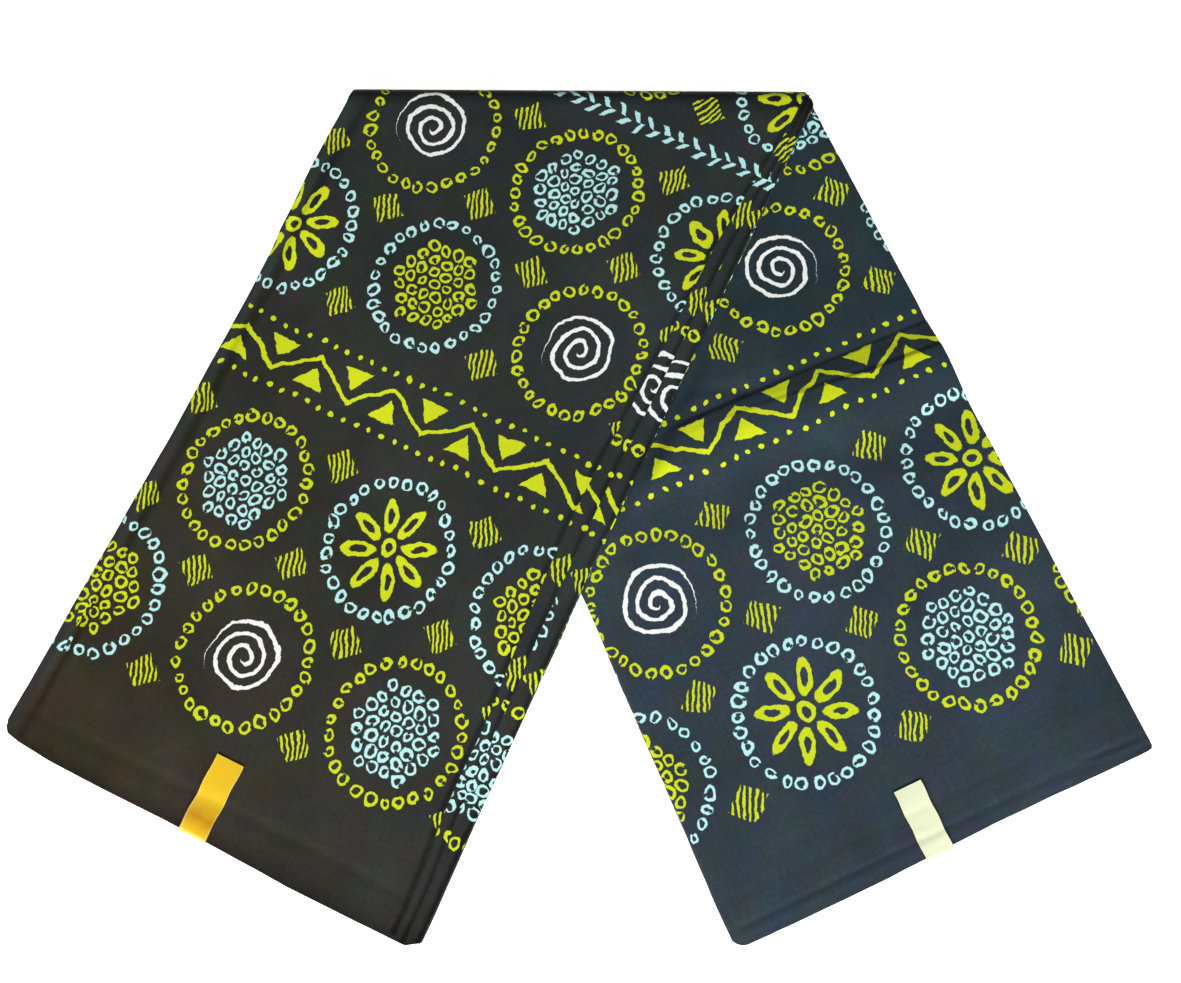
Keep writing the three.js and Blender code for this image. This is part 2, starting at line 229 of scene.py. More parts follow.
# %% [markdown]
# ## The legs seen from above
# Each leg is a straight strip, so v and w turn into x and y by its angle alone. The left leg's
# bottom rides on the right leg and comes down to the surface beyond it, in one smooth step.

# %% Plans of the legs
def left_plan(v, w):
    """The left leg seen from above: x and y from the middle of the fold line."""
    down = LEFT_SHORT_EDGE - v
    return -FOLD_LINE / 2 - SIN * down + COS * w, -COS * down - SIN * w


def right_plan(v, w):
    """The right leg seen from above."""
    down, inward = RIGHT_SHORT_EDGE - v, PACK_WIDTH - w
    return FOLD_LINE / 2 + SIN * down - COS * inward, -COS * down - SIN * inward


def lift(x, y):
    """How far the left leg is raised: fully on the right leg, and smoothly down beyond it."""
    inside = PACK_WIDTH + COS * (x - FOLD_LINE / 2) + SIN * y
    share = np.clip((inside + BRIDGE + COME_DOWN) / COME_DOWN, 0, 1)
    return (PACK_THICKNESS + GAP) * share**3 * (share * (share * 6 - 15) + 10)


def beyond_left_leg(x, y):
    """How far a place of the right leg is out from under the left one."""
    return COS * (x + FOLD_LINE / 2) - SIN * y - PACK_WIDTH


print("lift in the overlap in mm:", float(lift(np.array([0.0]), np.array([-100.0]))[0]))

# %% [markdown]
# ## Selvages and relief on a leg
# A selvage is drawn in at its rounded corners and waves a little, and that fades out over the
# first centimetres of the leg. The relief fades out at the turned fold and where the left leg lies
# on the right one, so that no layer cuts through another.

# %% Selvages and relief
LEFT_OUTER_CORNER, LEFT_INNER_CORNER = 9, 5
RIGHT_INNER_CORNER, RIGHT_OUTER_CORNER = 10, 2.2
SELVAGE_BLEND = 60
LEFT_WAVES, RIGHT_WAVES = 1.3, 4.4


def selvage_in(leg, w):
    """How far the selvage is drawn in at w, by its rounded corners and its slow wave."""
    if leg == "left":
        ends = corner(w, LEFT_OUTER_CORNER) + corner(PACK_WIDTH - w, LEFT_INNER_CORNER)
        return ends - curve(w, LEFT_SELVAGE_W, LEFT_SELVAGE_OUT)
    ends = corner(w, RIGHT_INNER_CORNER) + corner(PACK_WIDTH - w, RIGHT_OUTER_CORNER)
    return ends - curve(w, RIGHT_SELVAGE_W, RIGHT_SELVAGE_OUT)


def leg_v(leg, t, w, end_in):
    """Distance up the leg, from t and the amount that this layer's selvage is drawn in."""
    if leg == "left":
        full = (LEFT_SHORT_EDGE + w * SLANT) * np.clip(t, 0, 1)
    else:
        full = (RIGHT_SHORT_EDGE + (PACK_WIDTH - w) * SLANT) * np.clip(3 - t, 0, 1)
    return full + (selvage_in(leg, w) + end_in) * np.clip(1 - full / SELVAGE_BLEND, 0, 1)


def relief(leg, v, w, x, y):
    """What creases, tuck and waves add, as a share of the pack's thickness."""
    if leg == "left":
        height = crease_field(v, w, LEFT_CREASES) + billow(v, w, LEFT_WAVES)
        near_fold = ramp(LEFT_SHORT_EDGE + w * SLANT - v, 1, 26)
        return near_fold * (height + side_thinning(w)) / PACK_THICKNESS
    height = crease_field(v, w, RIGHT_CREASES) + tuck(v, w) + billow(v, w, RIGHT_WAVES)
    clear = ramp(beyond_left_leg(x, y), 2, 16)
    return clear * (height + side_thinning(w)) / PACK_THICKNESS


print("left selvage drawn in at its corner:", float(selvage_in("left", np.zeros(1))[0]), "mm")

# %% [markdown]
# ## From strip places to space
# One function lays any place of the strip in space. t runs from the left selvage (0) to the turned
# fold (1), round it (2) and down to the right selvage (3). h is the height in the stack, from
# the inner face that meets the other leg. Cloth can be draped by simulation, but pressed folds
# that lie still look truer when every layer follows one rule. The turned fold bows out a little,
# and its ends are rounded.

# %% The laying function
FOLD_BOW, FOLD_CORNER, FOLD_REACH = 1.1, 8, 0.955


def fold_shift(w):
    """The turned fold bows out a little, and its two ends are rounded."""
    ends = corner((PACK_WIDTH - w) / COS, FOLD_CORNER) + corner(w / COS, FOLD_CORNER / 2)
    return FOLD_BOW * (1 + w / PACK_WIDTH) - ends


def lay(t, w, h, end_in):
    """Space in millimetres and the strip's own length coordinate, for arrays of places."""
    v_left, v_right = leg_v("left", t, w, end_in), leg_v("right", t, w, end_in)
    xl, yl = left_plan(v_left, w)
    zl = lift(xl, yl) + h * (1 + relief("left", v_left, w, xl, yl))
    xr, yr = right_plan(v_right, w)
    zr = (PACK_THICKNESS - h) * (1 + relief("right", v_right, w, xr, yr))
    radius = h + GAP / 2
    turn = np.clip(t - 1, 0, 1)
    angle = math.pi * (0.5 - turn)
    xt = w / COS - FOLD_LINE / 2
    yt = radius * np.cos(angle)
    zt = PACK_THICKNESS + GAP / 2 + radius * np.sin(angle)
    on_left, on_right = t < 1, t > 2
    along = fold_shift(w) * ramp(np.where(t < 1.5, t, 3 - t), FOLD_REACH, 1)
    aside = np.where(on_left, 1, np.where(on_right, -1, 1 - 2 * turn))
    x = np.where(on_left, xl, np.where(on_right, xr, xt)) + PACK_X + SIN * aside * along
    y = np.where(on_left, yl, np.where(on_right, yr, yt)) + PACK_Y + COS * along
    z = np.where(on_left, zl, np.where(on_right, zr, zt))
    up_to_fold = LEFT_SHORT_EDGE + w * SLANT
    arc = math.pi * radius * turn / COS
    right_part = CLOTH_WIDTH + math.pi * radius / COS - v_right
    length = np.where(on_left, v_left, np.where(on_right, right_part, up_to_fold + arc))
    return np.stack([x, y, z], axis=1), length


fold_middle = lay(np.array([1.5]), np.array([PACK_WIDTH / 2]), np.array([PACK_THICKNESS]), 0)[0]
print("middle of the turned fold in mm:", fold_middle.round(1))

# %% [markdown]
# ## A sheet with a folded edge
# Every panel of the zigzag ends in a soft round lip where it folds under itself. A sheet starts
# as a flat bmesh grid with one column for each station of its cross section. A station says how
# far across the panel it is and how deep under the face, and the cloth between it and the first
# one places the print, so the pattern runs on round the fold. Rows are crowded at the selvages and
# over the creases.

# %% Cross sections and rows
LIP = 1.0
LEFT_ROWS, TURN_ROWS, RIGHT_ROWS = 165, 14, 215
LEFT_CREASED, RIGHT_CREASED = (0.78, 0.94), (0.46, 0.70)
ROW_TURN = 2.9


def lip_stations(steps=6):
    """Half a turn from the face to the run below it: (shift in from the edge, depth)."""
    turns = [math.pi * k / steps for k in range(1, steps)]
    return [(LIP / 2 * (1 - math.sin(a)), LIP / 2 * (1 - math.cos(a))) for a in turns]


def section(shares, under, fold_side):
    """Stations (share across, shift in mm, depth) along the cloth's cut line."""
    face = [(share, 0.0, 0.0) for share in shares]
    edge = 1.0 if fold_side > 0 else 0.0
    if fold_side < 0:
        face = face[::-1]
    face[-1] = (edge, -fold_side * LIP / 2, 0.0)
    lip = [(edge, -fold_side * shift, depth) for shift, depth in lip_stations()]
    back = [(share, -fold_side * LIP / 2 if share == edge else 0.0, LIP) for share in under]
    return face + lip + back


def leg_rows(count, creased):
    """Shares from the selvage to the fold, closer together at the selvage and over creases."""
    share = np.linspace(0, 1, 3000)
    first, last = creased
    over_creases = ramp(share, first - 0.04, first) * (1 - ramp(share, last, last + 0.04))
    crowd = 1 + 2.2 * over_creases + 2.0 * (1 - ramp(share, 0.04, 0.08))
    run = np.concatenate([[0], np.cumsum((crowd[1:] + crowd[:-1]) / 2)])
    return np.interp(np.linspace(0, 1, count), run / run[-1], share)


def strip_rows():
    """Values of t for a whole strip: up the left leg, round the fold and down the right leg."""
    left = leg_rows(LEFT_ROWS, LEFT_CREASED)
    right = leg_rows(RIGHT_ROWS, RIGHT_CREASED)
    turn = 1 + np.linspace(0, 1, TURN_ROWS + 2)[1:-1]
    return np.concatenate([left, turn, 3 - right[::-1]])


def row_place(s, w):
    """t of a row at w: rows lie along the selvages and turn towards the fold's slant."""
    left_full = LEFT_SHORT_EDGE + w * SLANT
    right_full = RIGHT_SHORT_EDGE + (PACK_WIDTH - w) * SLANT
    full = np.where(s < 1.5, left_full, right_full)
    middle = np.where(s < 1.5, LEFT_SHORT_EDGE, RIGHT_SHORT_EDGE) + PACK_WIDTH / 2 * SLANT
    up = np.clip(np.where(s < 1.5, s, 3 - s), 0, 1)
    placed_up = (up * middle + (full - middle) * up**ROW_TURN) / full
    return np.where(s < 1, placed_up, np.where(s > 2, 3 - placed_up, s))


print("lip stations:", [(round(a, 2), round(b, 2)) for a, b in lip_stations()])
print("rows of a whole strip:", len(strip_rows()))

# %% [markdown]
# ## From a flat grid to a piece
# The grid's vertices remember their row and column, so that they can be laid all at once. The
# finished piece carries its cloth map in metres. Edges on a sheet's border are marked sharp, so
# that the thin cut of the cloth, which the wall modifier adds, doesn't shade the face beside it.

# %% Grids, pieces and walls
CLOTH_WALL = 0.34


def add_grid(mesh, rows, columns):
    """Adds a grid to a bmesh. Its vertices remember their row and column."""
    row_of, column_of = mesh.verts.layers.int["row"], mesh.verts.layers.int["column"]
    made = bmesh.ops.create_grid(mesh, x_segments=columns - 1, y_segments=rows - 1, size=1)
    for vert in made["verts"]:
        vert[row_of] = round((vert.co.y + 1) / 2 * (rows - 1))
        vert[column_of] = round((vert.co.x + 1) / 2 * (columns - 1))
    return made["verts"]


def grid_mesh(rows, columns):
    """A new bmesh with one grid."""
    mesh = bmesh.new()
    for name in ("row", "column"):
        mesh.verts.layers.int.new(name)
    add_grid(mesh, rows, columns)
    return mesh


def kept(mesh, name):
    """What each vertex remembers under a name."""
    layer = mesh.verts.layers.int[name]
    return np.array([vert[layer] for vert in mesh.verts])


def finish_piece(name, mesh, points, cloth_xy, bake_xy=None):
    """Turns a bmesh into an object, with its places and its cloth map in metres."""
    for edge in mesh.edges:
        edge.smooth = not edge.is_boundary
    mesh.verts.index_update()
    data = bpy.data.meshes.new(name)
    mesh.to_mesh(data)
    mesh.free()
    data.vertices.foreach_set("co", (points * MM).astype(np.float32).ravel())
    corners = np.zeros(len(data.loops), dtype=np.int32)
    data.loops.foreach_get("vertex_index", corners)
    cloth_map = data.uv_layers.new(name="cloth")
    cloth_map.data.foreach_set("uv", (cloth_xy * MM)[corners].astype(np.float32).ravel())
    if bake_xy is not None:
        bake_map = data.uv_layers.new(name="OFBake")
        bake_map.data.foreach_set("uv", bake_xy(corners).astype(np.float32).ravel())
    for polygon in data.polygons:
        polygon.use_smooth = True
    data.update()
    piece = bpy.data.objects.new(name, data)
    bpy.context.scene.collection.objects.link(piece)
    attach(piece, "root")
    return piece


def add_wall(piece, name, thickness):
    """Gives a sheet its thickness, inwards from the face."""
    wall = piece.modifiers.new(name, "SOLIDIFY")
    wall.thickness = thickness * MM
    wall.offset = -1


print("cloth wall in mm:", CLOTH_WALL)

# %% [markdown]
# ## Where each sheet's edges run
# The outer face slides a little on its way round the turned fold, and the panels under it step
# out towards the outermost fold. Each sheet has its own slight wander, so no two edges are
# parallel, as on a pack that was folded by hand.

# %% Edge lines of the sheets
def side_edges(kind, t, seed):
    """Left and right edge (w) of a layer at each t."""
    v_left = np.clip(t, 0, 1) * (LEFT_SHORT_EDGE + PACK_WIDTH * SLANT)
    v_right = np.clip(3 - t, 0, 1) * (RIGHT_SHORT_EDGE + PACK_WIDTH * SLANT)
    down = np.clip((LEFT_SHORT_EDGE - v_left) / LEFT_SHORT_EDGE, 0, 1)
    bow = EDGE_BOW * np.sin(math.pi * down**EDGE_BOW_SKEW) * (t < 1)
    inner = curve(v_right, RIGHT_INNER_V, RIGHT_INNER_IN) * (t > 2)
    stray = curve(v_left, EDGE_STEPS_V, OUTERMOST_STRAY) * (t < 1)
    past_turn = np.clip(t - 1, 0, 1)
    left, right = bow + inner, PACK_WIDTH + stray
    if kind == "outer":
        from_fold = (RIGHT_SHORT_EDGE + PACK_WIDTH * SLANT) - v_right
        left = left + TURN_SLIDE * past_turn * (1 - ramp(from_fold, 0, SLIDE_END) * (t > 2))
        right = right - curve(v_left, EDGE_STEPS_V, TOP_STEP) * (1 - past_turn)
    if kind == "second":
        left = left + 1.2
        right = right - curve(v_left, EDGE_STEPS_V, SECOND_STEP) * (1 - past_turn) - 0.6
    if kind == "third":
        left, right = left + 0.8, right - 0.4
    quiet = 0.25 if kind == "inner" else 0.5
    return left + wander(600 * t, seed, quiet), right + wander(600 * t, seed + 5, quiet)


print("edges of the outer face at the fold:", side_edges("outer", np.ones(1), 1))

# %% [markdown]
# ## Laying a sheet
# One function makes all four sheets. It lays the grid, places the print by the length of cloth
# from the sheet's first station, and gives the large sheets a second map for baking, which puts
# the left half of the strip beside the right half.

# %% Sheet making
OUTER_CUT_AT, INNER_CUT_AT, HIDDEN_CUT_AT = 40, 5186, 762
SECOND_CUT_AT, THIRD_CUT_AT = 1490, 2477


def make_sheet(name, kind, stations, depth_from, direction, ends_in, print_at, seed,
               bake=False):
    """Lays a sheet. Its direction is +1 where its face looks up the stack, and -1 for down."""
    t_rows = strip_rows()
    mesh = grid_mesh(len(t_rows), len(stations))
    rows, columns = kept(mesh, "row"), kept(mesh, "column")
    share, shift, depth = (np.array(values) for values in zip(*stations))
    t = row_place(t_rows[rows], share[columns] * PACK_WIDTH)
    left, right = side_edges(kind, t, seed)
    w = left + share[columns] * (right - left) + shift[columns]
    h = depth_from - direction * depth[columns]
    on_left = t < 1.5
    end_in = np.where(on_left, ends_in[0], ends_in[1]) + wander(w, seed + 2, 0.35)
    points, length = lay(t, w, h, end_in)
    steps = np.hypot(np.diff(share * PACK_WIDTH + shift), np.diff(depth))
    cut = np.concatenate([[0], np.cumsum(steps)])
    face_first = cut[columns]
    cloth_xy = np.stack([print_at + face_first, length], axis=1)

    def bake_xy(corners):
        """The second map: each half of the strip fills one half of it."""
        across = face_first / cut[-1] * 0.485 + 0.0075
        whole = length.max()
        loop_left = on_left[corners].reshape(-1, 4).mean(axis=1).repeat(4) > 0.5
        along = length[corners] / (whole / 2)
        along = np.where(loop_left, along, along - 1)
        return np.stack([across[corners] + np.where(loop_left, 0, 0.5),
                         np.clip(along * 0.985 + 0.0075, 0, 1)], axis=1)

    piece = finish_piece(name, mesh, points, cloth_xy, bake_xy if bake else None)
    add_wall(piece, "cloth wall", CLOTH_WALL)
    size = (round(cut[-1]), round(length.max()))
    print(name, len(piece.data.polygons), "faces, cut in mm", size)
    return piece, cut[-1]


print("places along the cut in mm:", OUTER_CUT_AT, SECOND_CUT_AT, THIRD_CUT_AT, INNER_CUT_AT)

# %% [markdown]
# ## The outer face
# This is the uppermost panel of the left leg. It rounds the turned fold and becomes the lowest
# panel of the right leg, on the surface. Its left side is a fold, and its right side is the
# cloth's cut end, which steps back from the folds under it. One grid makes all three stretches,
# because a seam at the turned fold would show.

# %% Outer face
FACE_SHARES = list(np.linspace(0, 0.075, 13)) + list(np.linspace(0.087, 1, 74))
UNDER_LEFT = [0, 0.01, 0.025, 0.045]
outer_face, outer_cut = make_sheet(
    "outer_face", "outer", section(FACE_SHARES, UNDER_LEFT, -1)[::-1], PACK_THICKNESS, 1,
    (3.2, 0.4), OUTER_CUT_AT, 1, bake=True)
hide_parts("left_leg_top_panel", "turned_fold_panel", "right_leg_under_panel")

# %% [markdown]
# ## The inner face
# The uppermost panel of the right leg passes under the left leg, turns tightly inside the fold and
# comes out as the left leg's lowest panel. Its face looks down the stack, so its section runs the
# other way round and the faces still point outwards.

# %% Inner face
inner_face, inner_cut = make_sheet(
    "inner_face", "inner", section(FACE_SHARES, UNDER_LEFT, -1), 0.0, -1,
    (0.6, 0.5), INNER_CUT_AT, 3, bake=True)
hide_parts("right_leg_top_panel", "left_leg_under_panel")

# %% [markdown]
# ## The two stepped panels
# Beside the top panel the folded edges of the next two show, each a narrow strip of print. Each
# is a double panel: it comes to its lip on the right and goes back under. Only the strip by the
# lip shows, so the hidden part has wide columns.

# %% Second and third panels
WIDE_SHARES = [0, 0.01, 0.04, 0.12, 0.25, 0.4, 0.55, 0.7, 0.8, 0.86]
STEP_SHARES = WIDE_SHARES + list(np.linspace(0.89, 1, 24))
BACK_SHARES = [1, 0.98, 0.93, 0.8, 0.6, 0.4, 0.2, 0.04, 0]
SECOND_FACE, THIRD_FACE = 7.7, 6.4
second_panel, second_cut = make_sheet(
    "second_panel", "second", section(STEP_SHARES, BACK_SHARES, 1), SECOND_FACE, 1,
    (0.3, 1.4), SECOND_CUT_AT, 7)
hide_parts("left_leg_second_panel")
third_panel, third_cut = make_sheet(
    "third_panel", "third", section(STEP_SHARES, BACK_SHARES, 1), THIRD_FACE, 1,
    (-0.4, 0.9), THIRD_CUT_AT, 9)
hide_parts("left_leg_third_panel")

# %% [markdown]
# ## The hidden layers
# Twelve more panels lie between the stepped ones and the inner face. Only their edges show, so
# they share one solid: a grid for its lowest face, a ring of vertices extruded from the border
# for each level of the stack, and a grid on top. A pair of layers ends in one round lip at the
# sides, and every layer shows its own thin cut at the selvages.

# %% Levels of the hidden layers
LAYERS_FROM, LAYERS_TO = 1.3, 5.1
HIDDEN_LAYERS, LEVELS_A_LAYER = 12, 3
SIDE_IN, END_IN = -1.4, -1.6
LIP_OUT, CUT_IN = 1.3, -1.2
PANEL_OF_CLOTH = 305


def stack_levels():
    """(h, how far the sides stand out, how far the selvage ends stand out, layer) by level."""
    pitch = (LAYERS_TO - LAYERS_FROM) / HIDDEN_LAYERS
    levels = [(LAYERS_FROM, SIDE_IN, END_IN, 0)]
    for layer in range(HIDDEN_LAYERS):
        for k in range(LEVELS_A_LAYER):
            share = (k + 0.5) / LEVELS_A_LAYER
            fold_share = (layer % 2 + share) / 2
            side = SIDE_IN + LIP_OUT * math.sin(math.pi * fold_share) ** 0.7
            end = CUT_IN if k == LEVELS_A_LAYER - 1 else 0.0
            levels.append((LAYERS_FROM + pitch * (layer + share), side, end, layer))
    levels.append((LAYERS_TO, SIDE_IN, END_IN, HIDDEN_LAYERS - 1))
    return levels


def stacked_mesh(rows, columns, levels):
    """A grid, a ring of vertices round it for each level, and a grid on top."""
    mesh = grid_mesh(rows, columns)
    level_of = mesh.verts.layers.int.new("level")
    ring = [edge for edge in mesh.edges if edge.is_boundary]
    for level in range(1, levels):
        made = bmesh.ops.extrude_edge_only(mesh, edges=ring)["geom"]
        for item in made:
            if isinstance(item, bmesh.types.BMVert):
                item[level_of] = level
        ring = [item for item in made if isinstance(item, bmesh.types.BMEdge)
                and all(vert[level_of] == level for vert in item.verts)]
    for vert in add_grid(mesh, rows, columns):
        vert[level_of] = levels - 1
    return mesh


print("levels in the stack:", len(stack_levels()))

# %% [markdown]
# ## Laying the hidden layers
# Each level is laid by the same function as the sheets. The lids and the rings meet only once they
# are laid, so doubles are merged then, and the normals are turned outwards after that. Extruding
# makes its faces in an order that changes from run to run, so they are sorted last.

# %% Hidden layers
INDEX_SPAN = 1e6


def fixed_place(item):
    """A number that gives an edge or a face the same place in every run."""
    numbers = [vert.index for vert in item.verts]
    return min(numbers) * INDEX_SPAN + max(numbers)


def layered_solid(name, print_at):
    """Makes the one closed solid of the hidden layers."""
    levels = stack_levels()
    t_rows = strip_rows()
    shares = [0, 0.004, 0.03] + list(np.linspace(0.08, 0.92, 16)) + [0.97, 0.996, 1]
    mesh = stacked_mesh(len(t_rows), len(shares), len(levels))
    rows, columns, level = (kept(mesh, label) for label in ("row", "column", "level"))
    h, side, end, layer = (np.array(values)[level] for values in zip(*levels))
    share = np.array(shares)[columns]
    t = row_place(t_rows[rows], share * PACK_WIDTH)
    left, right = side_edges("hidden", t, 11)
    out = side + wander(600 * t, 13 + layer // 2 * 1.9, 0.45)
    on_side = (columns == 0) | (columns == len(shares) - 1)
    w = left + share * (right - left) + np.where(share < 0.5, -out, out) * on_side
    end_in = 0.9 - end + wander(w, 17 + layer * 2.7, 0.8) + 0.5 * np.sin(layer * 5.1)
    points, length = lay(t, w, h, end_in)
    for vert, place in zip(mesh.verts, points):
        vert.co = place
    along_cut = print_at + layer * PANEL_OF_CLOTH + share * PACK_WIDTH
    cloth_xy = np.stack([along_cut, length], axis=1)
    map_x, map_y = (mesh.verts.layers.float.new(axis) for axis in ("map_x", "map_y"))
    for vert, (x, y) in zip(mesh.verts, cloth_xy):
        vert[map_x], vert[map_y] = x, y
    bmesh.ops.remove_doubles(mesh, verts=mesh.verts[:], dist=0.002)
    bmesh.ops.recalc_face_normals(mesh, faces=mesh.faces[:])
    mesh.verts.index_update()
    for items in (mesh.edges, mesh.faces):
        items.sort(key=fixed_place)
    points = np.array([vert.co for vert in mesh.verts])
    cloth_xy = np.array([(vert[map_x], vert[map_y]) for vert in mesh.verts])
    open_edges = sum(edge.is_boundary for edge in mesh.edges)
    piece = finish_piece(name, mesh, points, cloth_xy)
    print(name, len(piece.data.polygons), "faces,", open_edges, "open edges")
    return piece


hidden_layers = layered_solid("hidden_layers", HIDDEN_CUT_AT)
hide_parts("left_leg_layers", "right_leg_layers", "turned_fold_layers")

# %% [markdown]
# ## Shader sums in plain words
# The wax print is worked out in the shader from the cloth map, which counts metres of cloth, so a
# motif keeps its size on every panel and runs on round each fold. Every motif is a distance in
# millimetres to the edge of its ink, below nought inside. The least of several distances joins
# them, and one threshold at the end turns a distance into ink. Small helpers keep that readable.

# %% Helpers for node trees
def feed(tree, socket, value):
    """Gives a socket a value of its own, or a link from another socket."""
    if isinstance(value, (int, float, tuple)):
        socket.default_value = value
    else:
        tree.links.new(value, socket)


def new_group(name, inputs, outputs):
    """An empty node group, with its sockets given as name and kind."""
    tree = bpy.data.node_groups.new(name, "ShaderNodeTree")
    for side, sockets in (("INPUT", inputs), ("OUTPUT", outputs)):
        for label, kind in sockets.items():
            tree.interface.new_socket(name=label, in_out=side, socket_type="NodeSocket" + kind)
    return tree, tree.nodes.new("NodeGroupInput"), tree.nodes.new("NodeGroupOutput")


def placed(tree, group, **values):
    """A node group put into a tree, with its sockets linked or set by name."""
    node = tree.nodes.new("ShaderNodeGroup")
    node.node_tree = group
    for label, value in values.items():
        feed(tree, node.inputs[label], value)
    return node


def sums_in(tree):
    """Math nodes of a tree as short calls: do("ADD", socket or number, ...)."""
    def do(operation, *values, clamp=False):
        node = tree.nodes.new("ShaderNodeMath")
        node.operation = operation
        node.use_clamp = clamp
        for socket, value in zip(node.inputs, values):
            feed(tree, socket, value)
        return node.outputs[0]
    return do


def least(do, first, *others):
    """The least of several distances."""
    for other in others:
        first = do("MINIMUM", first, other)
    return first


def from_half(do, share):
    """How far a share is from one half."""
    return do("ABSOLUTE", do("SUBTRACT", share, 0.5))


print("helpers for numbers ready")

# %% [markdown]
# ## Vectors and clouds in a shader
# The same short calls are wanted for vectors: a sum, a length, a change of size and the three
# parts. A cloud is a noise texture, the usual way to make cloth uneven without an image.

# %% Helpers for vectors
def vector_sum(tree, operation, *values):
    """A sum of vectors or colours, each a socket or three numbers."""
    node = tree.nodes.new("ShaderNodeVectorMath")
    node.operation = operation
    for socket, value in zip(node.inputs, values):
        feed(tree, socket, value)
    return node.outputs[0]


def scaled(tree, vector, amount):
    """A vector or colour times a number, or times a factor that changes over the cloth."""
    node = tree.nodes.new("ShaderNodeVectorMath")
    node.operation = "SCALE"
    tree.links.new(vector, node.inputs[0])
    feed(tree, node.inputs["Scale"], amount)
    return node.outputs[0]


def parts_of(tree, vector):
    """The three parts of a vector."""
    node = tree.nodes.new("ShaderNodeSeparateXYZ")
    tree.links.new(vector, node.inputs[0])
    return node.outputs


def far(tree, across, along):
    """Length of a flat vector given by its two parts."""
    joined = tree.nodes.new("ShaderNodeCombineXYZ")
    tree.links.new(across, joined.inputs[0])
    tree.links.new(along, joined.inputs[1])
    length = tree.nodes.new("ShaderNodeVectorMath")
    length.operation = "LENGTH"
    tree.links.new(joined.outputs[0], length.inputs[0])
    return length.outputs["Value"]


def cloud(tree, vector, scale, detail=1.0, flat=True):
    """A noise texture on a vector, with its value first and its colour second."""
    node = tree.nodes.new("ShaderNodeTexNoise")
    node.noise_dimensions = "2D" if flat else "3D"
    node.inputs["Scale"].default_value = scale
    node.inputs["Detail"].default_value = detail
    tree.links.new(vector, node.inputs["Vector"])
    return node.outputs


print("helpers for vectors ready")

# %% [markdown]
# ## The ring dot
# Wax printers draw with small rings that never close quite evenly. One ring dot is a circle of
# ink whose place, size and stroke change with a seed, so that no two neighbours are alike. A
# small round bite, also placed by the seed, leaves some of them open. It is a node group, because
# both the rounds of beads and the filled rounds are drawn with it.

# %% Ring dot
OFF_PLACE = 1.3
RING_SIZE, SIZE_SPREAD = 2.7, 0.9
STROKE, STROKE_SPREAD = 0.74, 0.45
BITE_REACH, BITE_RADIUS = 3.8, 1.3


def make_ring_dot():
    """The ring dot's group: its distance in millimetres, from a place near its middle."""
    tree, given, result = new_group(
        "ring dot", {"Across": "Float", "Along": "Float", "Seed": "Float"},
        {"Ink distance": "Float"})
    do = sums_in(tree)
    chance = tree.nodes.new("ShaderNodeTexWhiteNoise")
    chance.noise_dimensions = "1D"
    tree.links.new(given.outputs["Seed"], chance.inputs["W"])
    parts = tree.nodes.new("ShaderNodeSeparateColor")
    tree.links.new(chance.outputs["Color"], parts.inputs[0])
    red, green, blue = parts.outputs
    moved = do("MULTIPLY_ADD", red, OFF_PLACE, -OFF_PLACE / 2)
    across = do("ADD", given.outputs["Across"], moved)
    moved = do("MULTIPLY_ADD", green, OFF_PLACE, -OFF_PLACE / 2)
    along = do("ADD", given.outputs["Along"], moved)
    radius = do("MULTIPLY_ADD", blue, SIZE_SPREAD, RING_SIZE)
    stroke = do("MULTIPLY_ADD", green, STROKE_SPREAD, STROKE)
    from_ring = do("ABSOLUTE", do("SUBTRACT", far(tree, across, along), radius))
    ring = do("SUBTRACT", from_ring, stroke)
    side = do("MULTIPLY_ADD", green, 2 * BITE_REACH, -BITE_REACH)
    other = do("FRACT", do("MULTIPLY", red, 7.0))
    end = do("MULTIPLY_ADD", other, 2 * BITE_REACH, -BITE_REACH)
    from_bite = far(tree, do("SUBTRACT", across, side), do("SUBTRACT", along, end))
    bite = do("SUBTRACT", BITE_RADIUS, from_bite)
    tree.links.new(do("MAXIMUM", ring, bite), result.inputs["Ink distance"])
    return tree


RING_DOT = make_ring_dot()
print("ring dot:", len(RING_DOT.nodes), "nodes")

# %% [markdown]
# ## Where the roundels lie
# The design is a plain one of this notebook's own, in the cloth's three inks. Roundels lie in half
# drop rows, two rows on each side of a border. First the cloth map is moved a little by two
# clouds, so that no line looks ruled. Then each place is told which roundel it is in, of four
# kinds, and where it is inside it. Everything is in millimetres.

# %% Roundel places
ROUNDEL_PITCH, ROW_PITCH = 124, 108
FIELD_FROM, FIELD_SHIFT = 64, 290
BORDER_AT, MIDDLE = 317, CLOTH_WIDTH / 2
KINDS, ROW_SEED, COLUMN_SEED = 4, 131, 23
FAR_OUT = 60
HAND_DRAWN = ((0.045, 6.0), (0.21, 1.9))
Roundel = namedtuple("Roundel", "x y run radius angle kind cell outside")


def drawn_by_hand(tree, cloth):
    """The cloth map, moved first in slow and wide and then in quick and small ways."""
    for scale, reach in HAND_DRAWN:
        chance = cloud(tree, cloth, scale)["Color"]
        moved = vector_sum(tree, "SUBTRACT", chance, (0.5, 0.5, 0.5))
        cloth = vector_sum(tree, "MULTIPLY_ADD", moved, (reach, reach, 0), cloth)
    return cloth


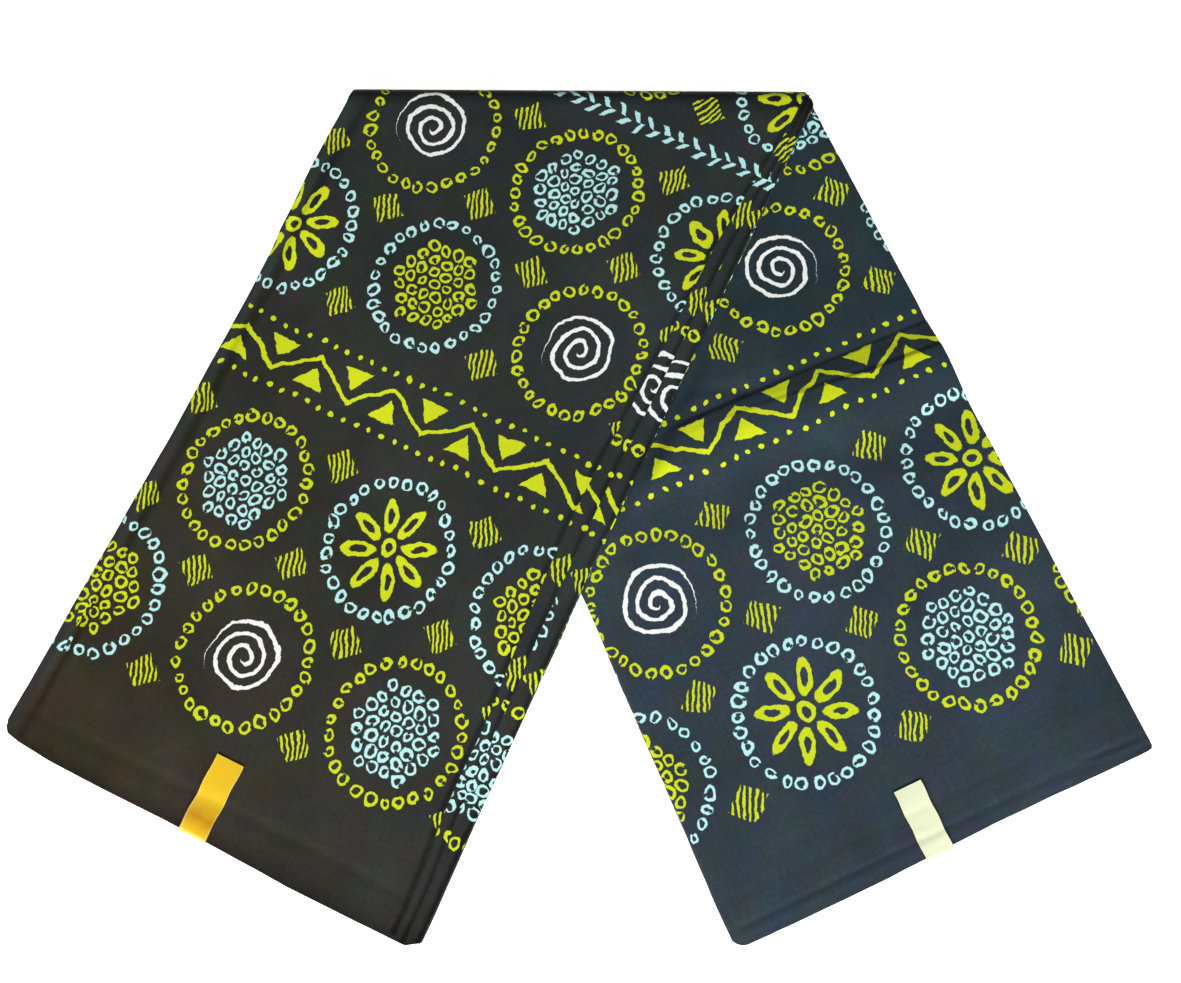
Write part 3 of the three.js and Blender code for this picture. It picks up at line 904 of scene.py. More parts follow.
def roundel_at(tree, x, y):
    """Which roundel a place is in, and where inside it."""
    do = sums_in(tree)
    upper = do("GREATER_THAN", y, BORDER_AT)
    above = do("SUBTRACT", y, do("MULTIPLY_ADD", upper, FIELD_SHIFT, FIELD_FROM))
    row = do("MAXIMUM", do("FLOOR", do("DIVIDE", above, ROW_PITCH)), 0)
    row = do("MINIMUM", row, 1)
    local_y = do("SUBTRACT", above, do("MULTIPLY_ADD", row, ROW_PITCH, ROW_PITCH / 2))
    row_number = do("MULTIPLY_ADD", upper, 2, row)
    run = do("MULTIPLY_ADD", row_number, ROUNDEL_PITCH / 2, x)
    column = do("FLOOR", do("DIVIDE", run, ROUNDEL_PITCH))
    middle = do("MULTIPLY_ADD", column, ROUNDEL_PITCH, ROUNDEL_PITCH / 2)
    local_x = do("SUBTRACT", run, middle)
    number = do("ADD", column, row_number)
    fours = do("MULTIPLY", do("FLOOR", do("DIVIDE", number, KINDS)), KINDS)
    past_row = do("GREATER_THAN", do("ABSOLUTE", local_y), ROW_PITCH / 2)
    return Roundel(
        x=local_x, y=local_y, run=run, radius=far(tree, local_x, local_y),
        angle=do("ARCTAN2", local_y, local_x), kind=do("SUBTRACT", number, fours),
        cell=do("MULTIPLY_ADD", row_number, ROW_SEED, do("MULTIPLY", column, COLUMN_SEED)),
        outside=do("MULTIPLY", past_row, FAR_OUT))


print("roundels every", ROUNDEL_PITCH, "mm, rows every", ROW_PITCH, "mm")

# %% [markdown]
# ## Rounds of ring dots
# Every roundel has a ring of beads, and half of them are filled with crowded rows of the same
# dots. Both could be a texture of dots, but counting them in the shader gives each its own seed.

# %% Beads and filled rounds
RING_BEADS, RING_RADIUS = 27, 47
BEAD_PITCH = 2 * math.pi * RING_RADIUS / RING_BEADS
DOT_PITCH, DOT_ROW = 10.2, 9.0
FILLED_RADIUS = 31.5
DOT_ROW_SEED, DOT_SEED = 7.3, 31.7


def bead_ring(tree, at):
    """A ring of beads near the roundel's edge."""
    do = sums_in(tree)
    bead_run = do("MULTIPLY", at.angle, RING_BEADS / (2 * math.pi))
    bead = do("FLOOR", bead_run)
    across = do("MULTIPLY", do("SUBTRACT", do("SUBTRACT", bead_run, bead), 0.5), BEAD_PITCH)
    dot = placed(tree, RING_DOT, Across=across, Along=do("SUBTRACT", at.radius, RING_RADIUS),
                 Seed=do("ADD", at.cell, bead))
    return do("ADD", dot.outputs[0], at.outside)


def filled_round(tree, at):
    """A round filled with rows of ring dots, every other row moved by half a dot."""
    do = sums_in(tree)
    row = do("ROUND", do("DIVIDE", at.y, DOT_ROW))
    odd = do("MULTIPLY", do("MODULO", do("ABSOLUTE", row), 2), DOT_PITCH / 2)
    column = do("ROUND", do("DIVIDE", do("SUBTRACT", at.x, odd), DOT_PITCH))
    dot_x, dot_y = do("MULTIPLY_ADD", column, DOT_PITCH, odd), do("MULTIPLY", row, DOT_ROW)
    seed = do("MULTIPLY_ADD", column, DOT_SEED, at.cell)
    seed = do("MULTIPLY_ADD", row, DOT_ROW_SEED, seed)
    dot = placed(tree, RING_DOT, Across=do("SUBTRACT", at.x, dot_x),
                 Along=do("SUBTRACT", at.y, dot_y), Seed=seed)
    past = do("GREATER_THAN", far(tree, dot_x, dot_y), FILLED_RADIUS)
    return do("ADD", dot.outputs[0], do("ADD", do("MULTIPLY", past, FAR_OUT), at.outside))


print("bead pitch in mm:", round(BEAD_PITCH, 2))

# %% [markdown]
# ## Rosettes, spirals and kites
# A rosette is one petal, repeated by folding the angle into an eighth of a turn. A spiral comes
# from the radius less the angle, and a kite between the roundels is filled with slanting strokes.

# %% Rosettes, spirals and kites
PETALS, PETAL_AT, PETAL_LONG, PETAL_WIDE = 8, 23, 13.5, 5.6
EYE_RADIUS, ROSETTE_STROKE = 4.8, 1.5
SPIRAL_PITCH, SPIRAL_STROKE = 9.2, 1.45
SPIRAL_FROM, SPIRAL_TO = 2.5, 27
KITE_AT, KITE_SIZE = 38, 8.8
HATCH_PITCH, HATCH_STROKE = 4.13, 0.85


def rosette(tree, at):
    """Open petals round a small ring."""
    do = sums_in(tree)
    turn = do("FRACT", do("MULTIPLY", at.angle, PETALS / (2 * math.pi)))
    angle = do("MULTIPLY", do("SUBTRACT", turn, 0.5), 2 * math.pi / PETALS)
    along = do("SUBTRACT", do("MULTIPLY", at.radius, do("COSINE", angle)), PETAL_AT)
    across = do("MULTIPLY", at.radius, do("SINE", angle))
    petal = far(tree, do("DIVIDE", along, PETAL_LONG), do("DIVIDE", across, PETAL_WIDE))
    petal = do("ABSOLUTE", do("SUBTRACT", petal, 0.70))
    petal = do("MULTIPLY_ADD", petal, 6, -ROSETTE_STROKE)
    eye = do("ABSOLUTE", do("SUBTRACT", at.radius, EYE_RADIUS))
    return do("ADD", least(do, petal, do("SUBTRACT", eye, ROSETTE_STROKE)), at.outside)


def spiral(tree, at):
    """A line that winds outwards from near the middle."""
    do = sums_in(tree)
    turned = do("DIVIDE", at.angle, 2 * math.pi)
    wind = do("FRACT", do("SUBTRACT", do("DIVIDE", at.radius, SPIRAL_PITCH), turned))
    line = do("MULTIPLY_ADD", from_half(do, wind), SPIRAL_PITCH, -SPIRAL_STROKE)
    line = do("MAXIMUM", line, do("SUBTRACT", at.radius, SPIRAL_TO))
    return do("ADD", do("MAXIMUM", line, do("SUBTRACT", SPIRAL_FROM, at.radius)), at.outside)


def hatched_kite(tree, at):
    """A kite of slanting strokes in the gap between four roundels."""
    do = sums_in(tree)
    side = do("ABSOLUTE", do("SUBTRACT", ROUNDEL_PITCH / 2, do("ABSOLUTE", at.x)))
    end = do("ABSOLUTE", do("SUBTRACT", do("ABSOLUTE", at.y), KITE_AT))
    kite = do("SUBTRACT", do("MULTIPLY_ADD", side, 0.62, do("MULTIPLY", end, 0.7)), KITE_SIZE)
    slant = do("FRACT", do("DIVIDE", do("MULTIPLY_ADD", at.y, 0.45, at.run), HATCH_PITCH))
    stroke = do("MULTIPLY_ADD", from_half(do, slant), HATCH_PITCH, -HATCH_STROKE)
    return do("ADD", do("MAXIMUM", kite, stroke), at.outside)


print("turns of a spiral:", round((SPIRAL_TO - SPIRAL_FROM) / SPIRAL_PITCH, 1))

# %% [markdown]
# ## The border and the middle row
# Two bands run the whole length of the cloth: a zigzag with triangles on both sides of it, between
# two rows of dots, and a row of chevrons along the middle. Both repeat along the cut, so they
# line up from panel to panel.

# %% Border and chevrons
ZIGZAG_PITCH, ZIGZAG_HIGH, ZIGZAG_STROKE = 66, 44, 1.5
TRIANGLE_WIDE, TRIANGLE_END = 53, 13
EDGING_PITCH, EDGING_AT, EDGING_RADIUS = 11, 22, 1.9
CHEVRON_PITCH, CHEVRON_HALF = 13, 7


def border(tree, x, y):
    """The zigzag border."""
    do = sums_in(tree)
    off = do("SUBTRACT", y, BORDER_AT)
    share = from_half(do, do("FRACT", do("DIVIDE", x, ZIGZAG_PITCH)))
    wave = do("MULTIPLY_ADD", share, ZIGZAG_HIGH, -ZIGZAG_HIGH / 4)
    zigzag = do("ABSOLUTE", do("SUBTRACT", off, wave))
    bands = [do("MULTIPLY_ADD", zigzag, 0.83, -ZIGZAG_STROKE)]
    for near, way in ((share, 1), (do("SUBTRACT", 0.5, share), -1)):
        slope = do("MULTIPLY_ADD", off, -0.6 * way, -1.2)
        end = do("SUBTRACT", do("MULTIPLY", off, way), TRIANGLE_END)
        bands.append(do("MAXIMUM", do("MULTIPLY_ADD", near, TRIANGLE_WIDE, slope), end))
    dot = do("SUBTRACT", do("FRACT", do("DIVIDE", x, EDGING_PITCH)), 0.5)
    edging = far(tree, do("MULTIPLY", dot, EDGING_PITCH),
                 do("SUBTRACT", do("ABSOLUTE", off), EDGING_AT))
    return least(do, *bands, do("SUBTRACT", edging, EDGING_RADIUS))


def chevrons(tree, x, from_middle):
    """The row of chevrons along the middle of the cloth."""
    do = sums_in(tree)
    inward = do("ABSOLUTE", from_middle)
    slant = do("FRACT", do("DIVIDE", do("MULTIPLY_ADD", inward, 0.8, x), CHEVRON_PITCH))
    stroke = do("MULTIPLY_ADD", from_half(do, slant), 10, -1.5)
    return do("MAXIMUM", stroke, do("SUBTRACT", inward, CHEVRON_HALF))


print("zigzags in a panel:", round(PACK_WIDTH / ZIGZAG_PITCH, 1))

# %% [markdown]
# ## The print as one node group
# The two halves of the cloth mirror each other, as the screens of such prints often do, with the
# second half a little out of step. Each ink takes the least of its motifs' distances. A fine cloud
# makes the edges ragged, as wax leaves them, before the threshold turns distance into ink.

# %% Wax print
HALF_SHIFT = 5
RAGGED_SCALE, RAGGED = 0.8, 0.8
INK_CRISPNESS = 2.4


def make_print():
    """The print's group: how much of each ink lies at a place of the cloth."""
    tree, given, result = new_group(
        "wax print", {"Cloth": "Vector"}, {"Lime": "Float", "Aqua": "Float", "White": "Float"})
    do = sums_in(tree)
    across, up, _ = parts_of(tree, drawn_by_hand(tree, given.outputs["Cloth"]))
    from_middle = do("SUBTRACT", up, MIDDLE)
    y = do("SUBTRACT", MIDDLE, do("ABSOLUTE", from_middle))
    x = do("ADD", across, do("MULTIPLY", do("GREATER_THAN", from_middle, 0), HALF_SHIFT))
    at = roundel_at(tree, x, y)

    def only(kind, distance):
        other = do("MULTIPLY_ADD", do("COMPARE", at.kind, kind, 0.5), -FAR_OUT, FAR_OUT)
        return do("ADD", distance, other)

    beads, filled = bead_ring(tree, at), filled_round(tree, at)
    inks = {
        "Lime": least(do, only(0, filled), only(3, rosette(tree, at)), only(1, beads),
                      only(2, beads), hatched_kite(tree, at), border(tree, x, y)),
        "Aqua": least(do, only(2, filled), only(0, beads), only(3, beads),
                      chevrons(tree, x, from_middle)),
        "White": only(1, spiral(tree, at))}
    ragged = cloud(tree, given.outputs["Cloth"], RAGGED_SCALE, 2.0)[0]
    ragged = do("MULTIPLY_ADD", ragged, RAGGED, -RAGGED / 2)
    for label, distance in inks.items():
        edge = do("MULTIPLY", do("ADD", distance, ragged), -INK_CRISPNESS)
        tree.links.new(do("ADD", edge, 0.5, clamp=True), result.inputs[label])
    return tree


WAX_PRINT = make_print()
print("wax print:", len(WAX_PRINT.nodes), "nodes")

# %% [markdown]
# ## The weave
# Wax prints are plain woven cotton, calendered flat. Close up the threads run in both directions
# and vary a little in thickness, which gives the dark ground its faint streaks. Two stretched
# clouds make the streaks, and two crossed waves the threads.

# %% Weave
THREAD_PITCH = 0.62
THREAD_FINE, THREAD_LONG = 1.6, 0.07
THREAD_HEIGHT = 0.35


def make_weave():
    """The weave's group: the height of its threads, and the streaks that they leave."""
    tree, given, result = new_group(
        "plain weave", {"Cloth": "Vector", "Pitch": "Float"},
        {"Height": "Float", "Streak": "Float"})
    do = sums_in(tree)
    streaks = []
    for stretch in ((THREAD_FINE, THREAD_LONG, 1), (THREAD_LONG, THREAD_FINE, 1)):
        stretched = vector_sum(tree, "MULTIPLY", given.outputs["Cloth"], stretch)
        streaks.append(cloud(tree, stretched, 1.0, 2.0)[0])
    across, along, _ = parts_of(tree, given.outputs["Cloth"])
    turns = do("DIVIDE", 2 * math.pi, given.outputs["Pitch"])
    warp, weft = (do("SINE", do("MULTIPLY", place, turns)) for place in (across, along))
    streak = do("MULTIPLY", do("ADD", *streaks), 0.5)
    height = do("MULTIPLY_ADD", do("MULTIPLY", warp, weft), THREAD_HEIGHT, streak)
    tree.links.new(streak, result.inputs["Streak"])
    tree.links.new(height, result.inputs["Height"])
    return tree


PLAIN_WEAVE = make_weave()
print("plain weave:", len(PLAIN_WEAVE.nodes), "nodes")

# %% [markdown]
# ## Helpers for materials
# The Principled BSDF stays in each material, and its plain numbers are set on its own sockets. The
# helpers read a piece's map in millimetres, mix two colours and add a bump of a real depth.

# %% Material helpers
def new_material(name, roughness):
    """A material with nodes, and its tree and shader."""
    material = bpy.data.materials.new(name)
    material.use_nodes = True
    shader = material.node_tree.nodes["Principled BSDF"]
    shader.inputs["Roughness"].default_value = roughness
    return material, material.node_tree, shader


def map_in_mm(tree, name):
    """A piece's own map, which counts metres, in millimetres."""
    chosen = tree.nodes.new("ShaderNodeUVMap")
    chosen.uv_map = name
    return scaled(tree, chosen.outputs[0], 1 / MM)


def mixed(tree, factor, first, second):
    """Mix of two colours, each a socket or a value."""
    node = tree.nodes.new("ShaderNodeMix")
    node.data_type = "RGBA"
    tree.links.new(factor, node.inputs[0])
    feed(tree, node.inputs[6], first)
    feed(tree, node.inputs[7], second)
    return node.outputs[2]


def bumped(tree, shader, height, depth):
    """A bump of a depth in millimetres."""
    bump = tree.nodes.new("ShaderNodeBump")
    bump.inputs["Strength"].default_value = 1.0
    bump.inputs["Distance"].default_value = depth * MM
    tree.links.new(height, bump.inputs["Height"])
    tree.links.new(bump.outputs[0], shader.inputs["Normal"])


def grown(do, value, slope):
    """A share from 0 to 1 that grows evenly: slope is its growth and its value at nought."""
    return do("MULTIPLY_ADD", value, slope[0], slope[1], clamp=True)


def line_at(do, place, at, half):
    """A soft line: 1 at its place and 0 from half its width away."""
    return grown(do, do("ABSOLUTE", do("SUBTRACT", place, at)), (-1 / half, 1))


print("helpers for materials ready")

# %% [markdown]
# ## The ground's colour
# The ground is a near black with painted light in its colour: it is lighter and browner low on the
# left leg, where warm light falls, greyer towards the V's inner side and bluer on the right leg,
# where cool light falls, and darker higher up each leg, in painted shade. The two legs overlap, so
# the place along the cut says which leg a panel belongs to: the panel that is uppermost on the
# right leg is late in the cut. Height on the object and nearness to the V's inner side say the
# rest. Slow clouds in the three channels let the hue wander a little, as dye does.

# %% Ground colour
# Painted light: low colours are the ground lit warm (left) and cool (right), high ones in shade.
LEFT_LOW_IN_WARM_LIGHT, LEFT_HIGH_IN_SHADE = (0.0425, 0.0290, 0.0150, 1), (0.0165, 0.0215, 0.0150, 1)
RIGHT_LOW_IN_COOL_LIGHT, RIGHT_HIGH_IN_SHADE = (0.0275, 0.0415, 0.0560, 1), (0.0200, 0.0350, 0.0430, 1)
# Painted light: the left leg's ground in the cool light towards the V's inner side.
INNER_SIDE_IN_COOL_LIGHT = (0.0240, 0.0310, 0.0315, 1)
SHADED_UP_THE_LEG, SHADED_PAST_TUCK = (1.7, 0.5), (6.0, 0.2)
LATE_IN_CUT, TO_INNER_SIDE = (1 / 1200, -2.4), (2.6, 0.94)
# A paler, greyer band along the left leg's folded edge.
PALE_BAND_AT, PALE_BAND_HALF = 58, 10
HUE_SCALE, HUE_SPREAD, HUE_LEAST = 0.035, (0.7, 0.5, 0.8), (0.65, 0.75, 0.6)
Ground = namedtuple("Ground", "x y along_cut up_cloth late inner_side rubbed")


def ground_places(tree, cloth, where):
    """Everything that the ground's colour and tone depend on."""
    do = sums_in(tree)
    x, y, _ = parts_of(tree, where)
    along_cut, up_cloth, _ = parts_of(tree, cloth)
    return Ground(
        x, y, along_cut, up_cloth, late=grown(do, along_cut, LATE_IN_CUT),
        inner_side=grown(do, x, TO_INNER_SIDE),
        rubbed=line_at(do, along_cut, PALE_BAND_AT, PALE_BAND_HALF))


def ground_colour_with_light(tree, cloth, at):
    """The ground's dark colour with painted light in it: lamp tints, and darker up each leg."""
    do = sums_in(tree)
    # Painted light: lighter low on each leg, greyer towards the inner side, warm or cool by leg.
    left = mixed(tree, grown(do, at.y, SHADED_UP_THE_LEG), LEFT_LOW_IN_WARM_LIGHT, LEFT_HIGH_IN_SHADE)
    left = mixed(tree, at.inner_side, left, INNER_SIDE_IN_COOL_LIGHT)
    # A paler, greyer band along the left leg's folded edge.
    left = mixed(tree, do("MULTIPLY", at.rubbed, 0.7), left, INNER_SIDE_IN_COOL_LIGHT)
    right = mixed(tree, grown(do, at.y, SHADED_PAST_TUCK), RIGHT_LOW_IN_COOL_LIGHT, RIGHT_HIGH_IN_SHADE)
    ground = mixed(tree, at.late, left, right)
    hues = cloud(tree, cloth, HUE_SCALE, 2.0)["Color"]
    hues = vector_sum(tree, "MULTIPLY_ADD", hues, HUE_SPREAD, HUE_LEAST)
    return vector_sum(tree, "MULTIPLY", ground, hues)


print("ground colours: left", LEFT_LOW_IN_WARM_LIGHT[:3], "right", RIGHT_LOW_IN_COOL_LIGHT[:3])

# %% [markdown]
# ## The ground's light and dark places
# Clouds, a fine mottle and the weave's streaks make the tone uneven. A paler, greyer band runs
# along the left leg's folded edge, beside a dark line of painted shade along a crease. The cloth
# is dark at its selvages. Painted shade also darkens it low on the V's inner side, in a line
# beside each stepped edge, where the panel above throws its shadow, and where it rounds the turned
# fold.

# %% Ground tone
CLOUD_SCALE, MOTTLE_SCALE = 9.0, 0.35
CLOUD_TONE, LEAST_TONE = 0.9, 0.14
# Painted shade is placed by the crease, step, low-on-leg and fold numbers below.
CREASE_SHADE_AT, CREASE_SHADE_HALF = 69, 5
SELVAGE_SHADE = (-1 / 16, 1)
STEP_SHADOW_LINES = (OUTER_CUT_AT + 323.5, SECOND_CUT_AT + 309.5, THIRD_CUT_AT + 309.5)
STEP_SHADOW_HALF = 1 / 0.3
SHADE_LOW_ON_LEG = (-6.0, -1.08)
FOLD_EDGE_Y, FOLD_SHADE_TONE = 0.303, 0.10
SLOWEST, QUICKEST = 22, 51


def ground_tone(tree, at, clouds, mottle, streak):
    """How light the ground is, as a factor of its colour, with painted shade in it."""
    do = sums_in(tree)
    tone = do("MULTIPLY_ADD", clouds, CLOUD_TONE, LEAST_TONE)
    shades = [(mottle, 0.28), (streak, 0.5), (at.rubbed, 0.18),
              # Painted shade: a dark line along the crease beside the left leg's folded edge.
              (line_at(do, at.along_cut, CREASE_SHADE_AT, CREASE_SHADE_HALF), -0.34),
              (grown(do, at.up_cloth, SELVAGE_SHADE), -0.45)]
    # Painted shadow: a dark line beside each stepped edge, where the panel above shades the one
    # below.
    shades += [(line_at(do, at.along_cut, edge, STEP_SHADOW_HALF), -0.6) for edge in STEP_SHADOW_LINES]
    for place, weight in shades:
        tone = do("MULTIPLY_ADD", place, weight, tone)
    # Painted shade: darker low on the left leg towards the V's inner side.
    low = do("MULTIPLY", at.inner_side, at.inner_side)
    low = do("MULTIPLY", grown(do, at.y, SHADE_LOW_ON_LEG), low)
    tone = do("MULTIPLY_ADD", low, do("MULTIPLY_ADD", at.late, 0.5, -0.72), tone)
    # Painted shade: the ground darkens over the last two to four centimetres before the turned
    # fold.
    growth = do("MINIMUM", do("MULTIPLY_ADD", at.x, -300, 72), QUICKEST)
    growth = do("MAXIMUM", growth, SLOWEST)
    from_fold = do("SUBTRACT", FOLD_EDGE_Y, at.y)
    return do("MULTIPLY", tone, do("MULTIPLY_ADD", from_fold, growth, FOLD_SHADE_TONE, clamp=True))


print("dark lines in mm along the cut:", STEP_SHADOW_LINES)

# %% [markdown]
# ## The printed cotton
# The inks lie flat in the ground and aren't raised, so they only change the colour. All of it
# fades a little with the weave. Calendered cotton has a soft low gloss, so the specular level is
# low, which also lets the rolled edge of the fold stay dark.

# %% Printed cotton
LIME_INK = (0.60, 0.69, 0.012, 1)
AQUA_INK = (0.48, 0.82, 0.82, 1)
WHITE_INK = (0.88, 0.90, 0.88, 1)
WEAVE_DEPTH = 0.07


def printed_cotton():
    """The material of every piece of the cloth."""
    material, tree, shader = new_material("printed cotton", 0.62)
    do = sums_in(tree)
    cloth = map_in_mm(tree, "cloth")
    where = tree.nodes.new("ShaderNodeTexCoord").outputs["Object"]
    inks = placed(tree, WAX_PRINT, Cloth=cloth)
    weave = placed(tree, PLAIN_WEAVE, Cloth=cloth, Pitch=THREAD_PITCH)
    clouds = cloud(tree, where, CLOUD_SCALE, 3.0, flat=False)[0]
    mottle = cloud(tree, cloth, MOTTLE_SCALE, 2.0)[0]
    at = ground_places(tree, cloth, where)
    tone = ground_tone(tree, at, clouds, mottle, weave.outputs["Streak"])
    colour = scaled(tree, ground_colour_with_light(tree, cloth, at), tone)
    for label, ink in (("Lime", LIME_INK), ("Aqua", AQUA_INK), ("White", WHITE_INK)):
        colour = mixed(tree, inks.outputs[label], colour, ink)
    fade = do("MULTIPLY_ADD", weave.outputs["Streak"], 0.22, 0.79)
    fade = do("MULTIPLY_ADD", mottle, 0.12, fade)
    tree.links.new(scaled(tree, colour, fade), shader.inputs["Base Color"])
    tree.links.new(do("MULTIPLY_ADD", clouds, 0.16, 0.47), shader.inputs["Roughness"])
    shader.inputs["Specular IOR Level"].default_value = 0.12
    shader.inputs["Sheen Weight"].default_value = 0.01
    shader.inputs["Sheen Roughness"].default_value = 0.5
    bumped(tree, shader, weave.outputs["Height"], WEAVE_DEPTH)
    return material


PRINTED_COTTON = printed_cotton()
for piece in (outer_face, inner_face, second_panel, third_panel, hidden_layers):
    piece.data.materials.append(PRINTED_COTTON)
print("printed cotton on five pieces")

# %% [markdown]
# ## Ribbon labels
# A satin ribbon is folded over each selvage and lies along the leg. It is a narrow sheet too: it
# runs down the face, rounds the cloth's end and hangs a few millimetres. The same laying
# function carries it, so it follows the cloth's relief and floats just clear of it.

# %% Ribbons
LABEL_WIDTH, LABEL_CENTRE, LABEL_COLUMNS = 20, 149, 13
LABEL_WALL = 0.3
CLEAR_OF_CLOTH = 0.55
LEFT_LABEL_LENGTH, RIGHT_LABEL_LENGTH, LABEL_HANG = 54, 47, 5.0


def ribbon_path(length, hang):
    """Stations (v from the selvage, rise over the face) from the free end to the hanging end."""
    face = [(v, CLEAR_OF_CLOTH + 0.12 * math.sin(v / 5.0)) for v in np.linspace(length, 1.5, 26)]
    bend = [(0.2, 0.55), (-0.7, 0.35), (-1.4, -0.1), (-1.8, -0.8), (-2.0, -1.7)]
    drop = [(-2.05, -1.7 - (hang - 1.7) * k / 4) for k in range(1, 5)]
    return face + bend + drop


def make_ribbon(name, leg, face_h, end_in, length, hang):
    """Lays a ribbon down a leg's face and over its selvage."""
    path_v, rise = (np.array(values) for values in zip(*ribbon_path(length, hang)))
    mesh = grid_mesh(len(path_v), LABEL_COLUMNS)
    rows, columns = kept(mesh, "row"), kept(mesh, "column")
    share = columns / (LABEL_COLUMNS - 1) - 0.5
    w = LABEL_CENTRE + LABEL_WIDTH * share + 0.25 * np.sin(rows * 0.55)
    on_face = np.maximum(path_v[rows], 0)
    if leg == "left":
        t, plan = on_face / (LEFT_SHORT_EDGE + w * SLANT), left_plan
    else:
        t, plan = 3 - on_face / (RIGHT_SHORT_EDGE + (PACK_WIDTH - w) * SLANT), right_plan
    points, _ = lay(t, w, np.full_like(w, face_h, dtype=float), end_in)
    beyond = np.minimum(path_v[rows], 0)
    x, y = plan(leg_v(leg, t, w, end_in) + beyond, w)
    points[:, 0], points[:, 1] = x + PACK_X, y + PACK_Y
    points[:, 2] += rise[rows] + 0.18 * (2 * share) ** 4
    cut = np.concatenate([[0], np.cumsum(np.hypot(np.diff(path_v), np.diff(rise)))])
    cloth_xy = np.stack([share * LABEL_WIDTH, cut[rows]], axis=1)
    piece = finish_piece(name, mesh, points, cloth_xy)
    add_wall(piece, "ribbon wall", LABEL_WALL)
    print(name, "cut", LABEL_WIDTH, "x", round(cut[-1]), "mm")
    return piece, cut[-1]


left_ribbon, left_ribbon_cut = make_ribbon(
    "left_ribbon", "left", PACK_THICKNESS, 0.6, LEFT_LABEL_LENGTH, LABEL_HANG)
right_ribbon, right_ribbon_cut = make_ribbon(
    "right_ribbon", "right", 0.0, 0.5, RIGHT_LABEL_LENGTH, LABEL_HANG)
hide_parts("left_label")
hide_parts("right_label")

# %% [markdown]
# ## Satin
# Satin shines along its length, because its threads float over each other in one direction. Fine
# ribs run across, the selvedges are a little paler, and a soft band of shade lies where the
# ribbon bends towards the cloth's end. The ribbons are left bare.

# %% Satin ribbons
GOLD_LIGHT, GOLD_DEEP = (0.80, 0.51, 0.012, 1), (0.56, 0.26, 0.002, 1)
PALE_LIGHT, PALE_DEEP = (0.78, 0.82, 0.56, 1), (0.62, 0.58, 0.20, 1)
SELVEDGE_TINT = (0.95, 0.80, 0.30, 1)
RIB_PITCH, RIB_DEPTH = 0.55, 0.05


def satin(name, light, deep, band_at, band_half):
    """Satin with a band of shade across it, placed along the ribbon in millimetres."""
    material, tree, shader = new_material(name, 0.34)
    do = sums_in(tree)
    cloth = map_in_mm(tree, "cloth")
    across, along, _ = parts_of(tree, cloth)
    uneven = cloud(tree, cloth, 0.12, 2.0)[0]
    shade = do("MULTIPLY", line_at(do, along, band_at, band_half),
               do("MULTIPLY_ADD", uneven, 0.8, 0.6), clamp=True)
    colour = mixed(tree, shade, light, deep)
    selvedge = grown(do, do("ABSOLUTE", across), (0.8, -7.0))
    colour = mixed(tree, do("MULTIPLY", selvedge, 0.35), colour, SELVEDGE_TINT)
    ribs = do("SINE", do("MULTIPLY", along, 2 * math.pi / RIB_PITCH))
    tone = do("MULTIPLY_ADD", ribs, 0.035, 0.96)
    tree.links.new(scaled(tree, colour, tone), shader.inputs["Base Color"])
    tree.links.new(do("MULTIPLY_ADD", uneven, 0.2, 0.26), shader.inputs["Roughness"])
    shader.inputs["Specular IOR Level"].default_value = 0.32
    shader.inputs["Anisotropic"].default_value = 0.5
    bumped(tree, shader, do("MULTIPLY_ADD", ribs, 0.4, uneven), RIB_DEPTH)
    return material


left_ribbon.data.materials.append(satin("gold satin", GOLD_LIGHT, GOLD_DEEP, 43, 10))
right_ribbon.data.materials.append(satin("pale satin", PALE_LIGHT, PALE_DEEP, 51, 6))
print("satin on both ribbons")

# %% [markdown]
# ## The sheets
# Each sheet and ribbon printed the size it was cut to as it was laid. An outer layer has the
# longer way round the turned fold. The hidden layers are one solid and no sheet.

# %% Sheets
print("six sheets laid: four panels and two ribbons")

# %% [markdown]
# ## The floor
# The pack lies on a plain pale floor that is wide enough to meet no edge in any view. It glows a
# little, so it stays pale where the pack shades it, as in a picture on a white table.

# %% Floor
FLOOR_HALF, FLOOR_DROP = 40.0, 0.0003
FLOOR_GLOW = 0.8
floor_mesh = bmesh.new()
bmesh.ops.create_grid(floor_mesh, x_segments=2, y_segments=2, size=FLOOR_HALF)
bmesh.ops.translate(floor_mesh, verts=floor_mesh.verts[:], vec=(0, 0, -FLOOR_DROP))
floor_data = bpy.data.meshes.new("floor")
floor_mesh.to_mesh(floor_data)
floor_mesh.free()
floor = bpy.data.objects.new("floor", floor_data)
bpy.context.scene.collection.objects.link(floor)
floor_material, _, floor_shader = new_material("pale floor", 0.9)
floor_shader.inputs["Base Color"].default_value = (0.88, 0.88, 0.88, 1)
floor_shader.inputs["Emission Color"].default_value = (1, 1, 1, 1)
floor_shader.inputs["Emission Strength"].default_value = FLOOR_GLOW
floor_data.materials.append(floor_material)
print("floor half width in m:", FLOOR_HALF)

# %% [markdown]
# ## The lamps
# Folds in dark cloth only read when the light comes in low. Two lamps stand low on the viewer's
# side, a warm one at the left and a cool one at the right, and each slope that faces them is
# lighter than the one behind it. A weak lamp overhead and a dim room fill in the rest.

# %% Lamps
ROOM_LIGHT = 0.10


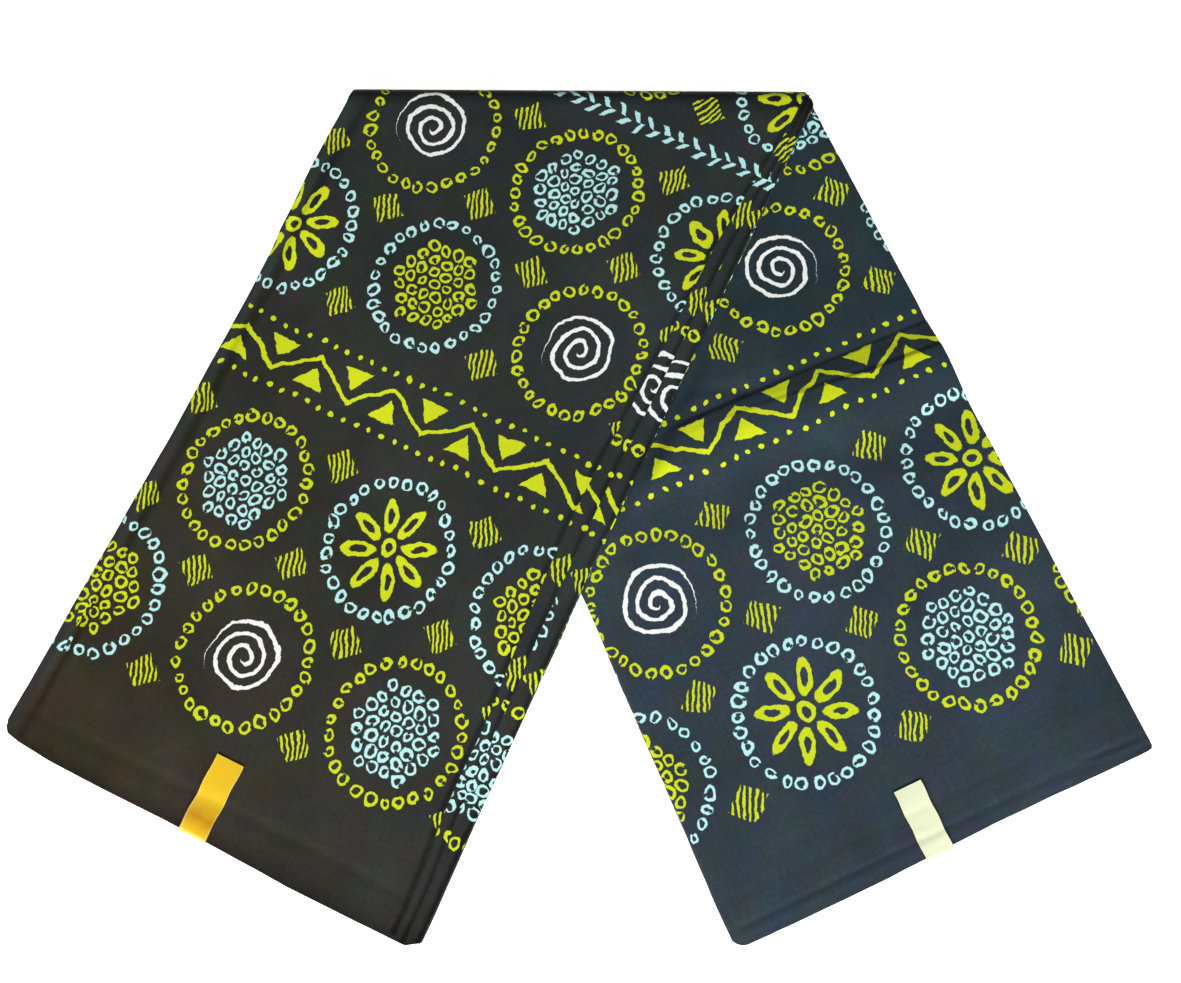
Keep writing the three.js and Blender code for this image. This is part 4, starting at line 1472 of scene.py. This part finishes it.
def soft_lamp(name, place, aim, size, power, colour):
    """A round lamp at a place, turned towards another."""
    data = bpy.data.lights.new(name, "AREA")
    data.shape = "DISK"
    data.size = size
    data.energy = power
    data.color = colour
    lamp = bpy.data.objects.new(name, data)
    lamp.location = place
    direction = np.array(aim) - np.array(place)
    across = math.hypot(direction[0], direction[1])
    lamp.rotation_euler = (math.atan2(across, -direction[2]), 0,
                           math.atan2(-direction[0], direction[1]))
    bpy.context.scene.collection.objects.link(lamp)
    print(name, "at", place)


soft_lamp("window lamp", (-1.5, -3.2, 1.5), (0, 0, 0), 0.9, 216, (1, 0.96, 0.90))
soft_lamp("cool lamp", (2.4, -2.7, 1.5), (0.2, -0.05, 0), 0.9, 142, (0.84, 0.92, 1))
soft_lamp("overhead lamp", (0, 0.5, 2.4), (0, 0, 0), 1.4, 8, (1, 1, 1))
world = bpy.data.worlds.new("soft room")
world.use_nodes = True
world.node_tree.nodes["Background"].inputs[0].default_value = (1, 1, 1, 1)
world.node_tree.nodes["Background"].inputs[1].default_value = ROOM_LIGHT
bpy.context.scene.world = world
bpy.context.scene.view_settings.view_transform = "Standard"

# %% [markdown]
# ## The camera
# The camera looks down from nearly overhead. Its lens, tilt and small roll are those of a hand
# held picture, worked out from where the corners of the pack stand in it.

# %% Camera
PHOTO_WIDTH, SENSOR_WIDTH = 1181, 36
FOCAL_PIXELS = 1228.4
TILT, ROLL = 0.19305, 0.00916
HEIGHT = 0.86484
AIM = (0.00721, 0.00218)
camera_data = bpy.data.cameras.new("camera")
camera_data.sensor_width = SENSOR_WIDTH
camera_data.lens = SENSOR_WIDTH * FOCAL_PIXELS / PHOTO_WIDTH
camera_data.clip_start = 0.01
camera = bpy.data.objects.new("camera", camera_data)
back = -HEIGHT * math.sin(TILT)
camera.location = (AIM[0] - back * math.sin(ROLL), AIM[1] + back * math.cos(ROLL),
                   HEIGHT * math.cos(TILT))
camera.rotation_euler = (TILT, 0, ROLL)
bpy.context.scene.collection.objects.link(camera)
bpy.context.scene.camera = camera
print("lens in mm:", round(camera_data.lens, 2))
